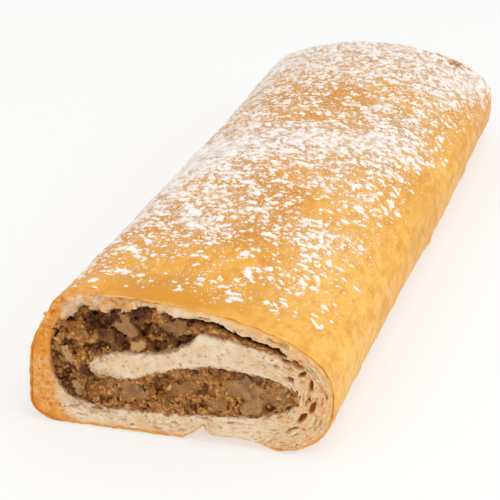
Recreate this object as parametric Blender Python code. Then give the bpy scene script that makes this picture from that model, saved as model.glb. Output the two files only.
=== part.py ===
"""Nut roll: a baked roll of laminated dough, cut across at the front to show its walnut filling.

Metres, +Z up. The roll lies along Y on its flat foot, with the cut face at -Y and the closed,
baked end at +Y. The origin is under the middle of the roll, on the surface that it rests on.
"""

import math
import random
from dataclasses import dataclass, fields

import bmesh
import bpy
from mathutils import Matrix, Vector, noise

# Size of the whole roll
LENGTH = 0.343
FRONT_Y = -LENGTH / 2
BACK_Y = LENGTH / 2
CUT_SKEW = 0.0404  # the knife ran a little askew: metres of y for each metre of x
END_ROUNDING = 0.0133  # radius of the closed end's edge
END_LIFT = 0.005  # how far the foot rises under the closed end
OVERCUT = 0.012  # how far the uncut roll runs past the knife

# Fineness of the meshes
RING_POINTS = 60
STATION_STEP = 0.0094
END_RINGS = 4
FACE_CELL = 0.0024

# Relief of the baked crust
SWELL_SPACING, SWELL_HEIGHT = 0.034, 0.0011
BLISTER_SPACING, BLISTER_HEIGHT = 0.012, 0.0005
FOOT_FADE = 0.008  # the relief dies out this far above the foot

# The filling and the gap that the dough is cut with
CLEARANCE = 0.0003
END_WALL = 0.016  # dough between the filling and the closed end
BACK_SHARE = 0.92  # the spiral is this much smaller at the closed end
SPIRAL_MIDDLE_Z = 0.022

# The spiral of filling across the cut face, from its thin outer end to its inner end:
# (x, z, half of its thickness)
FILLING_SPIRAL = (
    (0.0370, 0.0383, 0.0006),
    (0.0306, 0.0404, 0.0009),
    (0.0248, 0.0418, 0.0011),
    (0.0196, 0.0431, 0.0015),
    (0.0149, 0.0441, 0.0020),
    (0.0100, 0.0450, 0.0020),
    (0.0066, 0.0452, 0.0026),
    (0.0028, 0.0431, 0.0048),
    (-0.0028, 0.0412, 0.0068),
    (-0.0095, 0.0404, 0.0079),
    (-0.0195, 0.0391, 0.0073),
    (-0.0300, 0.0374, 0.0086),
    (-0.0366, 0.0333, 0.0084),
    (-0.0393, 0.0254, 0.0067),
    (-0.0368, 0.0181, 0.0068),
    (-0.0298, 0.0152, 0.0060),
    (-0.0214, 0.0150, 0.0060),
    (-0.0134, 0.0156, 0.0065),
    (-0.0035, 0.0177, 0.0081),
    (0.0073, 0.0199, 0.0091),
    (0.0172, 0.0208, 0.0092),
    (0.0271, 0.0209, 0.0081),
    (0.0350, 0.0212, 0.0061),
    (0.0399, 0.0215, 0.0033),
)
SPIRAL_STEPS = 2  # samples between two rows

# The dark slit where the top crust has parted from the spiral's thin outer end
TOP_SLIT = (
    (0.0393, 0.0376, 0.0004),
    (0.0370, 0.0391, 0.0006),
    (0.0335, 0.0406, 0.0007),
    (0.0295, 0.0414, 0.0007),
    (0.0260, 0.0425, 0.0008),
    (0.0225, 0.0434, 0.0008),
    (0.0190, 0.0448, 0.0008),
    (0.0149, 0.0465, 0.0007),
    (0.0102, 0.0472, 0.0006),
    (0.0055, 0.0473, 0.0005),
)
SLIT_DEPTH = 0.015

# Baked air pockets between the dough layers of the right wall:
# (x, z, half length, half thickness, tilt from level in degrees)
AIR_POCKETS = (
    (0.0431, 0.0353, 0.0026, 0.0013, -25),
    (0.0447, 0.0316, 0.0018, 0.0010, 30),
    (0.0407, 0.0292, 0.0018, 0.0010, -35),
    (0.0480, 0.0277, 0.0024, 0.0008, 85),
    (0.0484, 0.0190, 0.0028, 0.0010, 75),
    (0.0450, 0.0147, 0.0028, 0.0010, 55),
    (0.0418, 0.0100, 0.0022, 0.0006, 22),
)
POCKET_DEPTH = 0.006

# Parted layers of the right wall, as thin grooves that follow the outline: (inset, start, end),
# where start and end are shares of the outline's right side from the foot to the top
LAYER_GROOVES = ((0.0020, 0.30, 0.92), (0.0042, 0.10, 0.66), (0.0066, 0.05, 0.30))
GROOVE_HALF = 0.00035
GROOVE_DEPTH = 0.0022
GROOVE_REACH_X = 0.020

# The seam under the roll, where the sheet of dough ends: a notch, and a lap beside it that lies
# clear of the surface, as (x, z) from left to right
SEAM_OUTLINE = (
    (0.0022, -0.0020),
    (0.0030, 0.0012),
    (0.0060, 0.0030),
    (0.0088, 0.0058),
    (0.0097, 0.0064),
    (0.0106, 0.0040),
    (0.0135, 0.0026),
    (0.0210, 0.0030),
    (0.0262, 0.0024),
    (0.0305, 0.0016),
    (0.0350, -0.0020),
)

# Torn crust along the top left of the cut: set back from the knife's plane
TORN_BAND, TORN_DEPTH, TORN_FROM_X, TORN_TO_X = 0.0072, 0.0030, -0.051, -0.004

# Pieces of walnut in the filling's cut face: (x, z, half length, half width, tilt in degrees)
WALNUT_PIECES = (
    (-0.0382, 0.0268, 0.0056, 0.0022, 112),
    (-0.0185, 0.0415, 0.0050, 0.0036, -40),
    (-0.0031, 0.0436, 0.0048, 0.0030, 15),
    (-0.0135, 0.0352, 0.0032, 0.0020, 30),
    (-0.0357, 0.0154, 0.0030, 0.0022, 60),
    (-0.0155, 0.0167, 0.0052, 0.0030, 0),
    (0.0033, 0.0203, 0.0060, 0.0034, 10),
    (0.0172, 0.0263, 0.0040, 0.0024, -8),
    (0.0251, 0.0186, 0.0062, 0.0042, -25),
    (0.0350, 0.0220, 0.0042, 0.0032, 20),
    (0.0123, 0.0161, 0.0038, 0.0024, 35),
)
WALNUT_PROUD = 0.0007
WALNUT_THICK = 0.0026

# Hollows in the crumbly filling: (x, z, half width, half height, depth)
FILLING_PITS = (
    (-0.0065, 0.0162, 0.0018, 0.0044, 0.0050),
    (-0.0333, 0.0403, 0.0052, 0.0034, 0.0036),
    (-0.0096, 0.0425, 0.0026, 0.0030, 0.0028),
    (-0.0402, 0.0188, 0.0022, 0.0026, 0.0030),
    (0.0073, 0.0143, 0.0022, 0.0016, 0.0026),
)

# Lumps of icing sugar that show from a step away
SUGAR_LUMPS = 86
SUGAR_RADII = (0.0026, 0.0016)  # the first lump's and the last one's
SUGAR_SIDES = 6
SUGAR_HEIGHT = 0.0005
SUGAR_SUNK = 0.0007
SUGAR_APART = 0.0072
SUGAR_HALF_WIDTH = 0.046
SUGAR_SEED = 11

# Where the sugar lies: it starts behind the cut, and lies thickest in a band across the middle,
# on the left shoulder and at the closed end, each with its distance from the cut end and its reach
SUGAR_START, SUGAR_RAMP = 0.008, 0.045
SUGAR_THIN = 0.34
BAND_SHARE, BAND_AT, BAND_REACH, BAND_SLANT = 0.45, 0.172, 0.030, 0.5
SHOULDER_SHARE, SHOULDER_AT, SHOULDER_REACH, SHOULDER_X, SHOULDER_WIDTH = 0.25, 0.120, 0.050, -0.045, 0.030
END_SHARE, END_AT, END_REACH = 0.30, 0.335, 0.035
RIGHT_EDGE, RIGHT_FADE = 0.052, 0.022


@dataclass(frozen=True)
class Section:
    """Outline across the roll: a flat foot with rounded corners, and a dome with its crest off centre."""

    left_half: float
    right_half: float
    left_waist: float
    right_waist: float
    crest_x: float
    crest_height: float
    left_power: float
    right_power: float
    left_foot: float
    right_foot: float


FRONT_SECTION = Section(0.0552, 0.0557, 0.0083, 0.0234, -0.0326, 0.0533, 2.33, 2.38, 0.0120, 0.0211)
MIDDLE_SECTION = Section(0.0577, 0.0599, 0.0156, 0.0216, -0.0174, 0.0509, 2.13, 2.19, 0.0114, 0.0159)
BACK_SECTION = Section(0.0610, 0.0610, 0.0219, 0.0248, -0.0021, 0.0476, 1.80, 2.04, 0.0115, 0.0138)
FOOT_POWER = 2.3


def section_at(y):
    """The roll's outline at a place along its length, from the front over the middle to the back."""
    place = 2 * min(1.0, max(0.0, (y - FRONT_Y) / LENGTH))
    if place < 1:
        near, far, share = FRONT_SECTION, MIDDLE_SECTION, place
    else:
        near, far, share = MIDDLE_SECTION, BACK_SECTION, place - 1
    sizes = [getattr(near, f.name) for f in fields(Section)]
    other = [getattr(far, f.name) for f in fields(Section)]
    return Section(*(a + share * (b - a) for a, b in zip(sizes, other)))


def quadrant(corner_x, corner_z, reach_x, reach_z, power, steps=24):
    """Points of a superellipse's quarter, from its end on the x side to its end on the z side."""
    points = []
    for i in range(steps + 1):
        angle = math.pi / 2 * i / steps
        x = corner_x + reach_x * max(0.0, math.cos(angle)) ** (2 / power)
        z = corner_z + reach_z * max(0.0, math.sin(angle)) ** (2 / power)
        points.append((x, z))
    return points


def resampled(points, count, closed):
    """The same line with its points spaced evenly."""
    line = [Vector(p) for p in points]
    if closed:
        line.append(line[0])
    lengths = [0.0]
    for a, b in zip(line, line[1:]):
        lengths.append(lengths[-1] + (b - a).length)
    made, at = [], 0
    for i in range(count):
        wanted = lengths[-1] * i / (count if closed else count - 1)
        while at < len(line) - 2 and lengths[at + 1] < wanted:
            at += 1
        span = max(lengths[at + 1] - lengths[at], 1e-12)
        made.append(line[at].lerp(line[at + 1], min(1.0, (wanted - lengths[at]) / span)))
    return made


def section_outline(section, count=RING_POINTS):
    """Closed outline (x, z) of a section, anticlockwise from its right waist."""
    s = section
    corners = []
    for side, half, waist, power, foot in (
        (1, s.right_half, s.right_waist, s.right_power, s.right_foot),
        (-1, s.left_half, s.left_waist, s.left_power, s.left_foot),
    ):
        dome = quadrant(s.crest_x, waist, side * half - s.crest_x, s.crest_height - waist, power)
        edge = quadrant(side * (half - foot), waist, side * foot, -waist, FOOT_POWER)
        corners.append((dome, edge))
    (right, right_foot), (left, left_foot) = corners
    whole = right + left[-2::-1] + left_foot[1:] + right_foot[::-1]
    return resampled(whole[:-1], count, closed=True)


def crust_height(x, y):
    """Height of the smooth crust above the foot at x, y, on the domed top."""
    s = section_at(y)
    if x > s.crest_x:
        reach, waist, power = s.right_half - s.crest_x, s.right_waist, s.right_power
    else:
        reach, waist, power = s.left_half + s.crest_x, s.left_waist, s.left_power
    share = min(1.0, abs(x - s.crest_x) / reach)
    return waist + (s.crest_height - waist) * (1 - share**power) ** (1 / power)


def swell(x, y, z):
    """How far the crust bulges out at a point: soft swells that run lengthwise, and blisters."""
    soft = noise.noise(Vector((x, y * 0.55, z)) / SWELL_SPACING)
    blister = noise.noise(Vector((x, y, z)) / BLISTER_SPACING + Vector((7.3, 1.9, 4.1)))
    fade = min(1.0, max(0.0, z / FOOT_FADE))
    return fade * (SWELL_HEIGHT * soft + BLISTER_HEIGHT * blister)


def cut_y(x):
    """The knife's plane at x."""
    return FRONT_Y + CUT_SKEW * (x + FRONT_SECTION.left_half)


def new_object(name, mesh, group, helper=False):
    """Links a mesh as an object. A helper is a cutter, which doesn't render."""
    made = bpy.data.objects.new(name, mesh)
    group.objects.link(made)
    if helper:
        made.hide_render = True
        made.display_type = "WIRE"
    return made


def finished(work, name):
    """A mesh from a bmesh, with its faces pointing out."""
    bmesh.ops.recalc_face_normals(work, faces=work.faces)
    mesh = bpy.data.meshes.new(name)
    work.to_mesh(mesh)
    work.free()
    return mesh


def loft(name, rings):
    """A closed body through rings of equal length, with a flat cap on each end."""
    work = bmesh.new()
    rows = [[work.verts.new(point) for point in ring] for ring in rings]
    for near, far in zip(rows, rows[1:]):
        for i in range(len(near)):
            j = (i + 1) % len(near)
            work.faces.new((near[i], near[j], far[j], far[i]))
    work.faces.new(rows[0])
    work.faces.new(rows[-1][::-1])
    return finished(work, name)


def roll_ring(y, inset):
    """One ring of the roll's skin at y, drawn in by an inset where the closed end rounds off."""
    s = section_at(y)
    upward = (s.crest_height - inset) / s.crest_height
    foot = END_LIFT * inset / END_ROUNDING
    ring = section_outline(s)
    count = len(ring)
    points = []
    for i, (x, z) in enumerate(ring):
        along = ring[(i + 1) % count] - ring[i - 1]
        out = Vector((along.y, -along.x)).normalized()
        lift = swell(x, y, z)
        across = 1 - inset / (s.right_half if x > 0 else s.left_half)
        height = z * upward + foot * (1 - z / s.crest_height)
        points.append((x * across + out.x * lift, y, max(0.0, height + out.y * lift)))
    return points


def make_roll_body(group):
    """The whole roll before the knife: a loft that ends in a rounded, closed end."""
    straight_end = BACK_Y - END_ROUNDING
    count = round((straight_end - FRONT_Y + OVERCUT) / STATION_STEP)
    rings = []
    for i in range(count + 1):
        y = FRONT_Y - OVERCUT + (straight_end - FRONT_Y + OVERCUT) * i / count
        rings.append(roll_ring(y, 0.0))
    for i in range(1, END_RINGS + 1):
        angle = math.pi / 2 * i / END_RINGS
        y = straight_end + END_ROUNDING * math.sin(angle)
        rings.append(roll_ring(y, END_ROUNDING * (1 - math.cos(angle))))
    return new_object("pastry", loft("pastry", rings), group)


def smooth_rows(rows, steps):
    """Rows of numbers with more rows between them, on a smooth curve through all of them."""
    ends = [Vector(rows[0]), *(Vector(r) for r in rows), Vector(rows[-1])]
    made = []
    for a, b, c, d in zip(ends, ends[1:], ends[2:], ends[3:]):
        for i in range(steps):
            t = i / steps
            made.append(
                0.5 * (2 * b + (c - a) * t + (2 * a - 5 * b + 4 * c - d) * t**2)
                + 0.5 * (3 * b - a - 3 * c + d) * t**3
            )
    return made + [ends[-1]]


def ribbon_outline(rows, grow=0.0):
    """Closed outline of a ribbon of changing thickness along a line: rows are (x, z, half)."""
    one_side, other_side = [], []
    for i, row in enumerate(rows):
        before, after = rows[max(0, i - 1)], rows[min(len(rows) - 1, i + 1)]
        along = Vector((after[0] - before[0], after[1] - before[1])).normalized()
        across = Vector((-along.y, along.x)) * (row[2] + grow)
        middle = Vector(row[:2])
        if i == 0:
            middle -= along * grow
        if i == len(rows) - 1:
            middle += along * grow
        one_side.append(middle + across)
        other_side.append(middle - across)
    tip = Vector(rows[-1][:2]) + along * (rows[-1][2] + grow)
    return one_side + [tip] + other_side[::-1]


def prism(name, outline, near, far, group, far_share=1.0):
    """A bar along Y with this outline. near and far are its ends: a y, or a function of x."""
    rings = []
    for end, share in ((near, 1.0), (far, far_share)):
        ring = []
        for x, z in outline:
            px, pz = x * share, SPIRAL_MIDDLE_Z + (z - SPIRAL_MIDDLE_Z) * share
            ring.append((px, end(px) if callable(end) else end, pz))
        rings.append(ring)
    return new_object(name, loft(name, rings), group, helper=True)


def craggy_block(name, relief, group):
    """A block that takes up all the room behind the cut, its front face rough as relief(x, z) says."""
    width, height, base = 0.136, 0.078, -0.008
    cells_x, cells_z = round(width / FACE_CELL), round(height / FACE_CELL)
    work = bmesh.new()
    bmesh.ops.create_grid(work, x_segments=cells_x, y_segments=cells_z, size=0.5)
    for v in work.verts:
        x, z = v.co.x * width, base + (v.co.y + 0.5) * height
        v.co = (x, cut_y(x) + relief(x, z), z)
    pushed = bmesh.ops.extrude_face_region(work, geom=work.faces[:])["geom"]
    for v in (g for g in pushed if isinstance(g, bmesh.types.BMVert)):
        v.co.y = BACK_Y + OVERCUT
    return new_object(name, finished(work, name), group, helper=True)


def dough_relief(outline):
    """Relief of the cut dough: fine crumb, and a torn band set back under the crust's top left."""

    def relief(x, z):
        crumb = 0.0006 * noise.noise(Vector((x, z, 0.0)) / 0.0040)
        depth = min((Vector((x, z)) - p).length for p in outline)
        torn = 0.0
        if TORN_FROM_X < x < TORN_TO_X and z > SPIRAL_MIDDLE_Z and depth < TORN_BAND:
            ragged = 1 + 0.5 * noise.noise(Vector((x, z, 0.02)) / 0.0050)
            torn = TORN_DEPTH * ragged * (1 - depth / TORN_BAND)
        return crumb + torn

    return relief


def filling_relief(x, z):
    """Relief of the nut filling: coarse crumbs, and hollows where it has crumbled away."""
    crumbs = 0.0011 * noise.noise(Vector((x, z, 0.3)) / 0.0045)
    crumbs += 0.0006 * noise.noise(Vector((x, z, 0.7)) / 0.0022)
    hollow = 0.0
    for px, pz, half_width, half_height, depth in FILLING_PITS:
        away = ((x - px) / half_width) ** 2 + ((z - pz) / half_height) ** 2
        hollow = max(hollow, depth * (1 - away))
    return 0.0006 + crumbs + hollow


def boolean(target, operation, other, solver="EXACT"):
    """Applies one Boolean with an object or with all the objects of a collection."""
    modifier = target.modifiers.new(operation.lower(), "BOOLEAN")
    modifier.operation = operation
    modifier.solver = solver
    if isinstance(other, bpy.types.Collection):
        modifier.operand_type = "COLLECTION"
        modifier.collection = other
    else:
        modifier.object = other
    bpy.context.view_layer.update()
    graph = bpy.context.evaluated_depsgraph_get()
    mesh = bpy.data.meshes.new_from_object(target.evaluated_get(graph))
    mesh.name = target.name
    target.modifiers.remove(modifier)
    target.data = mesh


def clear_group(group):
    """Removes a collection and its objects, once a Boolean has used them."""
    for helper in list(group.objects):
        bpy.data.objects.remove(helper)
    bpy.data.collections.remove(group)


def new_group(name):
    """A collection under the scene's own."""
    group = bpy.data.collections.new(name)
    bpy.context.scene.collection.children.link(group)
    return group


def make_air_pockets(cutters):
    """Flat egg shapes that hollow the parted layers of the right wall."""
    made = []
    for i, (x, z, half_length, half_thick, tilt) in enumerate(AIR_POCKETS):
        work = bmesh.new()
        bmesh.ops.create_uvsphere(work, u_segments=10, v_segments=6, radius=1.0)
        place = (
            Matrix.Translation((x, cut_y(x), z))
            @ Matrix.Rotation(-math.radians(tilt), 4, "Y")
            @ Matrix.Diagonal((half_length, POCKET_DEPTH, half_thick, 1.0))
        )
        bmesh.ops.transform(work, matrix=place, verts=work.verts)
        name = f"air_pocket_{i}"
        made.append(new_object(name, finished(work, name), cutters, helper=True))
    return made


def make_layer_grooves(outline, cutters):
    """Thin grooves along the right wall, where layers of dough have come apart."""
    right = [p for p in outline if p.x > GROOVE_REACH_X and p.y > 0]
    right.sort(key=lambda p: math.atan2(p.y - SPIRAL_MIDDLE_Z, p.x - GROOVE_REACH_X))
    made = []
    for i, (inset, start, end) in enumerate(LAYER_GROOVES):
        line = []
        for before, here, after in zip(right, right[1:], right[2:]):
            along = (after - before).normalized()
            line.append(here + Vector((-along.y, along.x)) * inset)
        kept = line[round(start * len(line)) : round(end * len(line))]
        rows = [(p.x, p.y, GROOVE_HALF) for p in kept]
        name = f"layer_groove_{i}"
        deep = cut_y(rows[len(rows) // 2][0]) + GROOVE_DEPTH
        made.append(prism(name, ribbon_outline(rows), FRONT_Y - OVERCUT, deep, cutters))
    return made


def make_seam(cutters):
    """The notch and the raised lap under the roll, along the end of the dough sheet."""
    return prism("seam", SEAM_OUTLINE, FRONT_Y - OVERCUT, BACK_Y - END_ROUNDING, cutters)


def hill(value, centre, reach):
    """A smooth hill: 1 at its centre, and falling off over its reach."""
    return math.exp(-(((value - centre) / reach) ** 2))


def ramp(value, start, length):
    """0 before the start, and 1 once the length is past."""
    return min(1.0, max(0.0, (value - start) / length))


def sugar_share(x, y):
    """How thickly sugar lies at a place on the top."""
    from_cut = y - FRONT_Y
    band = BAND_SHARE * hill(from_cut, BAND_AT + BAND_SLANT * x, BAND_REACH)
    shoulder = SHOULDER_SHARE * hill(from_cut, SHOULDER_AT, SHOULDER_REACH)
    shoulder *= hill(x, SHOULDER_X, SHOULDER_WIDTH)
    end = END_SHARE * hill(from_cut, END_AT, END_REACH)
    spread = ramp(from_cut, SUGAR_START, SUGAR_RAMP) * ramp(RIGHT_EDGE - x, 0.0, RIGHT_FADE)
    return spread * (SUGAR_THIN + band + shoulder + end)


def sugar_spots():
    """Places of the largest sugar lumps, apart from each other, drawn by a seeded rule."""
    draw = random.Random(SUGAR_SEED)
    spots = []
    while len(spots) < SUGAR_LUMPS:
        x = draw.uniform(-SUGAR_HALF_WIDTH, SUGAR_HALF_WIDTH)
        y = draw.uniform(FRONT_Y, BACK_Y - 1.6 * END_ROUNDING)
        near = any(math.hypot(x - a, y - b) < SUGAR_APART for a, b in spots)
        if draw.random() < sugar_share(x, y) and not near:
            spots.append((x, y))
    return spots


def make_sugar_lumps():
    """Low lumps of icing sugar half sunk in the crust, in a group of their own."""
    group = new_group("sugar")
    draw = random.Random(SUGAR_SEED + 1)
    for i, (x, y) in enumerate(sugar_spots()):
        largest, smallest = SUGAR_RADII
        radius = largest + (smallest - largest) * i / SUGAR_LUMPS
        step = 0.001
        slope_x = (crust_height(x + step, y) - crust_height(x - step, y)) / (2 * step)
        slope_y = (crust_height(x, y + step) - crust_height(x, y - step)) / (2 * step)
        out = Vector((-slope_x, -slope_y, 1.0)).normalized()
        z = crust_height(x, y)
        foot = Vector((x, y, z)) + out * (swell(x, y, z) + (SUGAR_HEIGHT - SUGAR_SUNK) / 2)
        work = bmesh.new()
        bmesh.ops.create_cone(
            work,
            cap_ends=True,
            segments=SUGAR_SIDES,
            radius1=radius * 1.25,
            radius2=radius * 0.6,
            depth=SUGAR_HEIGHT + SUGAR_SUNK,
        )
        for v in work.verts:
            v.co.xy *= draw.uniform(0.75, 1.25)
        turn = Matrix.Rotation(draw.uniform(0, math.tau), 4, "Z")
        place = Matrix.Translation(foot) @ out.to_track_quat("Z", "Y").to_matrix().to_4x4()
        bmesh.ops.transform(work, matrix=place @ turn, verts=work.verts)
        name = f"sugar_{i}"
        new_object(name, finished(work, name), group, helper=True)
    return group


def make_walnut_pieces():
    """Chopped walnut that stands a little out of the cut filling, in a group of its own."""
    group = new_group("walnut")
    draw = random.Random(5)
    for i, (x, z, half_length, half_width, tilt) in enumerate(WALNUT_PIECES):
        work = bmesh.new()
        bmesh.ops.create_icosphere(work, subdivisions=2, radius=1.0)
        offset = Vector((draw.uniform(0, 9), draw.uniform(0, 9), draw.uniform(0, 9)))
        for v in work.verts:
            v.co *= 0.92 + 0.30 * noise.noise(v.co * 1.4 + offset)
        place = (
            Matrix.Translation((x, cut_y(x) + WALNUT_THICK - WALNUT_PROUD, z))
            @ Matrix.Rotation(-math.radians(tilt), 4, "Y")
            @ Matrix.Diagonal((half_length, WALNUT_THICK, half_width, 1.0))
        )
        bmesh.ops.transform(work, matrix=place, verts=work.verts)
        name = f"walnut_{i}"
        new_object(name, finished(work, name), group, helper=True)
    return group


def make_pastry(parts, cutters):
    """The baked dough: its crust, the tongue between the turns of filling, and the closed end."""
    pastry = make_roll_body(parts)
    outline = section_outline(FRONT_SECTION, 120)
    boolean(pastry, "INTERSECT", craggy_block("knife_face", dough_relief(outline), cutters))
    spiral = smooth_rows(FILLING_SPIRAL, SPIRAL_STEPS)
    channel = ribbon_outline(spiral, CLEARANCE)
    hollows = [
        prism("channel", channel, FRONT_Y - OVERCUT, BACK_Y - END_WALL, cutters, BACK_SHARE),
        prism(
            "top_slit",
            ribbon_outline(smooth_rows(TOP_SLIT, SPIRAL_STEPS)),
            FRONT_Y - OVERCUT,
            cut_y(TOP_SLIT[2][0]) + SLIT_DEPTH,
            cutters,
        ),
        make_seam(cutters),
        *make_air_pockets(cutters),
        *make_layer_grooves(outline, cutters),
    ]
    for hollow in hollows:
        boolean(pastry, "DIFFERENCE", hollow)
    sugar = make_sugar_lumps()
    boolean(pastry, "UNION", sugar, "MANIFOLD")
    clear_group(sugar)
    return pastry


def make_filling(parts, cutters):
    """The nut filling: a bar that fills the spiral channel, rough and nutty where it was cut."""
    outline = ribbon_outline(smooth_rows(FILLING_SPIRAL, SPIRAL_STEPS))
    back = BACK_Y - END_WALL - CLEARANCE
    bar = prism("filling_bar", outline, FRONT_Y - OVERCUT, back, cutters, BACK_SHARE)
    filling = new_object("filling", bar.data.copy(), parts)
    rough = craggy_block("filling_face", filling_relief, cutters)
    walnut = make_walnut_pieces()
    boolean(rough, "UNION", walnut, "MANIFOLD")
    clear_group(walnut)
    boolean(filling, "INTERSECT", rough)
    return filling


def paint(part, name, colour, roughness):
    """Gives a part its own plain material and smooth shading."""
    material = bpy.data.materials.new(name)
    material.use_nodes = True
    shader = material.node_tree.nodes["Principled BSDF"]
    shader.inputs["Base Color"].default_value = (*colour, 1.0)
    shader.inputs["Roughness"].default_value = roughness
    shader.inputs["Metallic"].default_value = 0.0
    part.data.materials.clear()
    part.data.materials.append(material)
    part.data.shade_smooth()
    part.data.set_sharp_from_angle(angle=math.radians(40))


def main():
    """Builds the two pieces of the roll in a collection of their own."""
    for leftover in list(bpy.data.objects):
        bpy.data.objects.remove(leftover)
    parts, cutters = new_group("nut_roll"), new_group("cutters")
    paint(make_pastry(parts, cutters), "baked_dough", (0.83, 0.46, 0.13), 0.55)
    paint(make_filling(parts, cutters), "nut_filling", (0.26, 0.13, 0.045), 0.8)


main()
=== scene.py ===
"""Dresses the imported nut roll: golden crust, layered crumb, walnut filling and icing sugar.

Metres, +Z up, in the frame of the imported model: the roll lies along Y, with its cut face at -Y and
its closed, baked end at +Y.
"""

from __future__ import annotations

import itertools
import logging
import math
from dataclasses import dataclass, field, fields
from enum import Enum

import bmesh
import bpy
import numpy as np
from mathutils import Matrix, Vector, noise


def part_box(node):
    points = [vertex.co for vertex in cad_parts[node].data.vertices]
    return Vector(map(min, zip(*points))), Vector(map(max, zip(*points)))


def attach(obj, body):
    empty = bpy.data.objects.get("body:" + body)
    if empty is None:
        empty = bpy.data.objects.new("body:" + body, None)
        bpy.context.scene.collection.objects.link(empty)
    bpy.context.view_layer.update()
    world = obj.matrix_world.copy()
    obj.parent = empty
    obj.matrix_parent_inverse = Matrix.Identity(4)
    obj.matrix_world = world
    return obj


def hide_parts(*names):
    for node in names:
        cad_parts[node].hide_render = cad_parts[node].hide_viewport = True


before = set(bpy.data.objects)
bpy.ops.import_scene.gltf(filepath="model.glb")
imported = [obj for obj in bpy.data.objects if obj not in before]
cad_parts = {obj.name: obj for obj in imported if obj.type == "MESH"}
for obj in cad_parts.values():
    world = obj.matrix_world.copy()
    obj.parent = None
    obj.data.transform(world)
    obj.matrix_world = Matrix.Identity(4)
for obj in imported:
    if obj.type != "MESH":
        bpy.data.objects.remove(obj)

LOG = logging.getLogger("nut_roll")
Array = np.ndarray
Socket = bpy.types.NodeSocket
FAR = 1.0  # a distance past every surface


class Slot(Enum):
    """The record's material slots."""

    DOUGH = "baked_dough"
    FILLING = "nut_filling"


class Node(Enum):
    """The solids that the pieces stand for."""

    PASTRY = "pastry"
    FILLING = "filling"


# Small tools for numbers


def ramp(low: float, high: float, value: Array) -> Array:
    """A smooth step: 0 at low and beyond it, 1 at high and beyond it.

    Args:
        low: Where the step starts. It may be the greater of the two.
        high: Where the step ends.
        value: Numbers to look up.

    Returns:
        Numbers from 0 to 1.
    """
    share = np.clip((value - low) / (high - low), 0.0, 1.0)
    return share * share * (3.0 - 2.0 * share)


def hill(value: Array, centre: float | Array, reach: float) -> Array:
    """A smooth hill: 1 at its centre, falling off over its reach.

    Args:
        value: Numbers to look up.
        centre: Where the hill is highest.
        reach: How far off it has fallen to about a third.

    Returns:
        Numbers from 0 to 1.
    """
    return np.exp(-(((value - centre) / reach) ** 2))


class LatticeNoise:
    """Seeded gradient noise in three dimensions, about -1 to 1, for whole arrays of points."""

    SIDE = 64
    GAIN = 1.5

    def __init__(self, seed: int) -> None:
        """Draws the lattice's gradients.

        Args:
            seed: Seed of the draw.
        """
        draw = np.random.default_rng(seed)
        arrows = draw.normal(size=(self.SIDE**3, 3))
        arrows /= np.linalg.norm(arrows, axis=1, keepdims=True)
        self.arrows = arrows.astype(np.float32)

    def at(self, points: Array, spacing: float | tuple[float, float, float]) -> Array:
        """Noise at points.

        Args:
            points: Places, with x, y and z last.
            spacing: Size of the noise's lumps, the same every way or one for each axis.

        Returns:
            One number for each point.
        """
        scaled = (points / np.asarray(spacing)).astype(np.float32)
        corner = np.floor(scaled)
        inside = scaled - corner
        fade = inside**3 * (inside * (inside * 6.0 - 15.0) + 10.0)
        cell = corner.astype(np.int64)
        total = np.zeros(points.shape[:-1], np.float32)
        for step in itertools.product((0, 1), repeat=3):
            at = (cell + step) % self.SIDE
            arrow = self.arrows[(at[..., 0] * self.SIDE + at[..., 1]) * self.SIDE + at[..., 2]]
            slope = np.einsum("...i,...i->...", arrow, inside - np.float32(step))
            weight = np.prod(np.where(step, fade, 1.0 - fade), axis=-1)
            total += weight * slope
        return total * self.GAIN

    def layered(self, points: Array, spacing: float, octaves: int, gain: float = 0.5) -> Array:
        """Noise with finer noise on top.

        Args:
            points: Places, with x, y and z last.
            spacing: Size of the coarsest lumps.
            octaves: How many layers there are, each of half the size of the one before.
            gain: Strength of a layer beside the one before.

        Returns:
            One number for each point.
        """
        total = np.zeros(points.shape[:-1], np.float32)
        for octave in range(octaves):
            moved = points + 0.37 * spacing * octave
            total += gain**octave * self.at(moved, spacing / 2**octave)
        return total


def ribbon_distance(points: Array, rows: Array) -> Array:
    """Distance to a ribbon of changing thickness.

    Args:
        points: Places, with x and z last.
        rows: The ribbon's middle line as x, z and half of its thickness.

    Returns:
        Distance to the ribbon's edge, less than 0 inside it.
    """
    nearest = np.full(points.shape[:-1], np.inf)
    for start, end in zip(rows[:-1], rows[1:]):
        along = end[:2] - start[:2]
        share = np.clip(((points - start[:2]) @ along) / (along @ along), 0.0, 1.0)
        half = start[2] + share * (end[2] - start[2])
        gap = np.linalg.norm(points - start[:2] - share[..., None] * along, axis=-1)
        nearest = np.minimum(nearest, gap - half)
    return nearest


def outline_depth(points: Array, outline: Array) -> Array:
    """Depth below a closed outline.

    Args:
        points: Places, with x and z last.
        outline: The outline's points.

    Returns:
        Distance to the outline, more than 0 inside it.
    """
    nearest = np.full(points.shape[:-1], np.inf)
    inside = np.zeros(points.shape[:-1], bool)
    x, z = points[..., 0], points[..., 1]
    for start, end in zip(outline, np.roll(outline, -1, axis=0)):
        along = end - start
        share = np.clip(((points - start) @ along) / max(along @ along, 1e-12), 0.0, 1.0)
        gap = np.linalg.norm(points - start - share[..., None] * along, axis=-1)
        nearest = np.minimum(nearest, gap)
        if start[1] != end[1]:
            spans = (start[1] > z) != (end[1] > z)
            inside ^= spans & (x < start[0] + along[0] * (z - start[1]) / along[1])
    return np.where(inside, nearest, -nearest)


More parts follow.
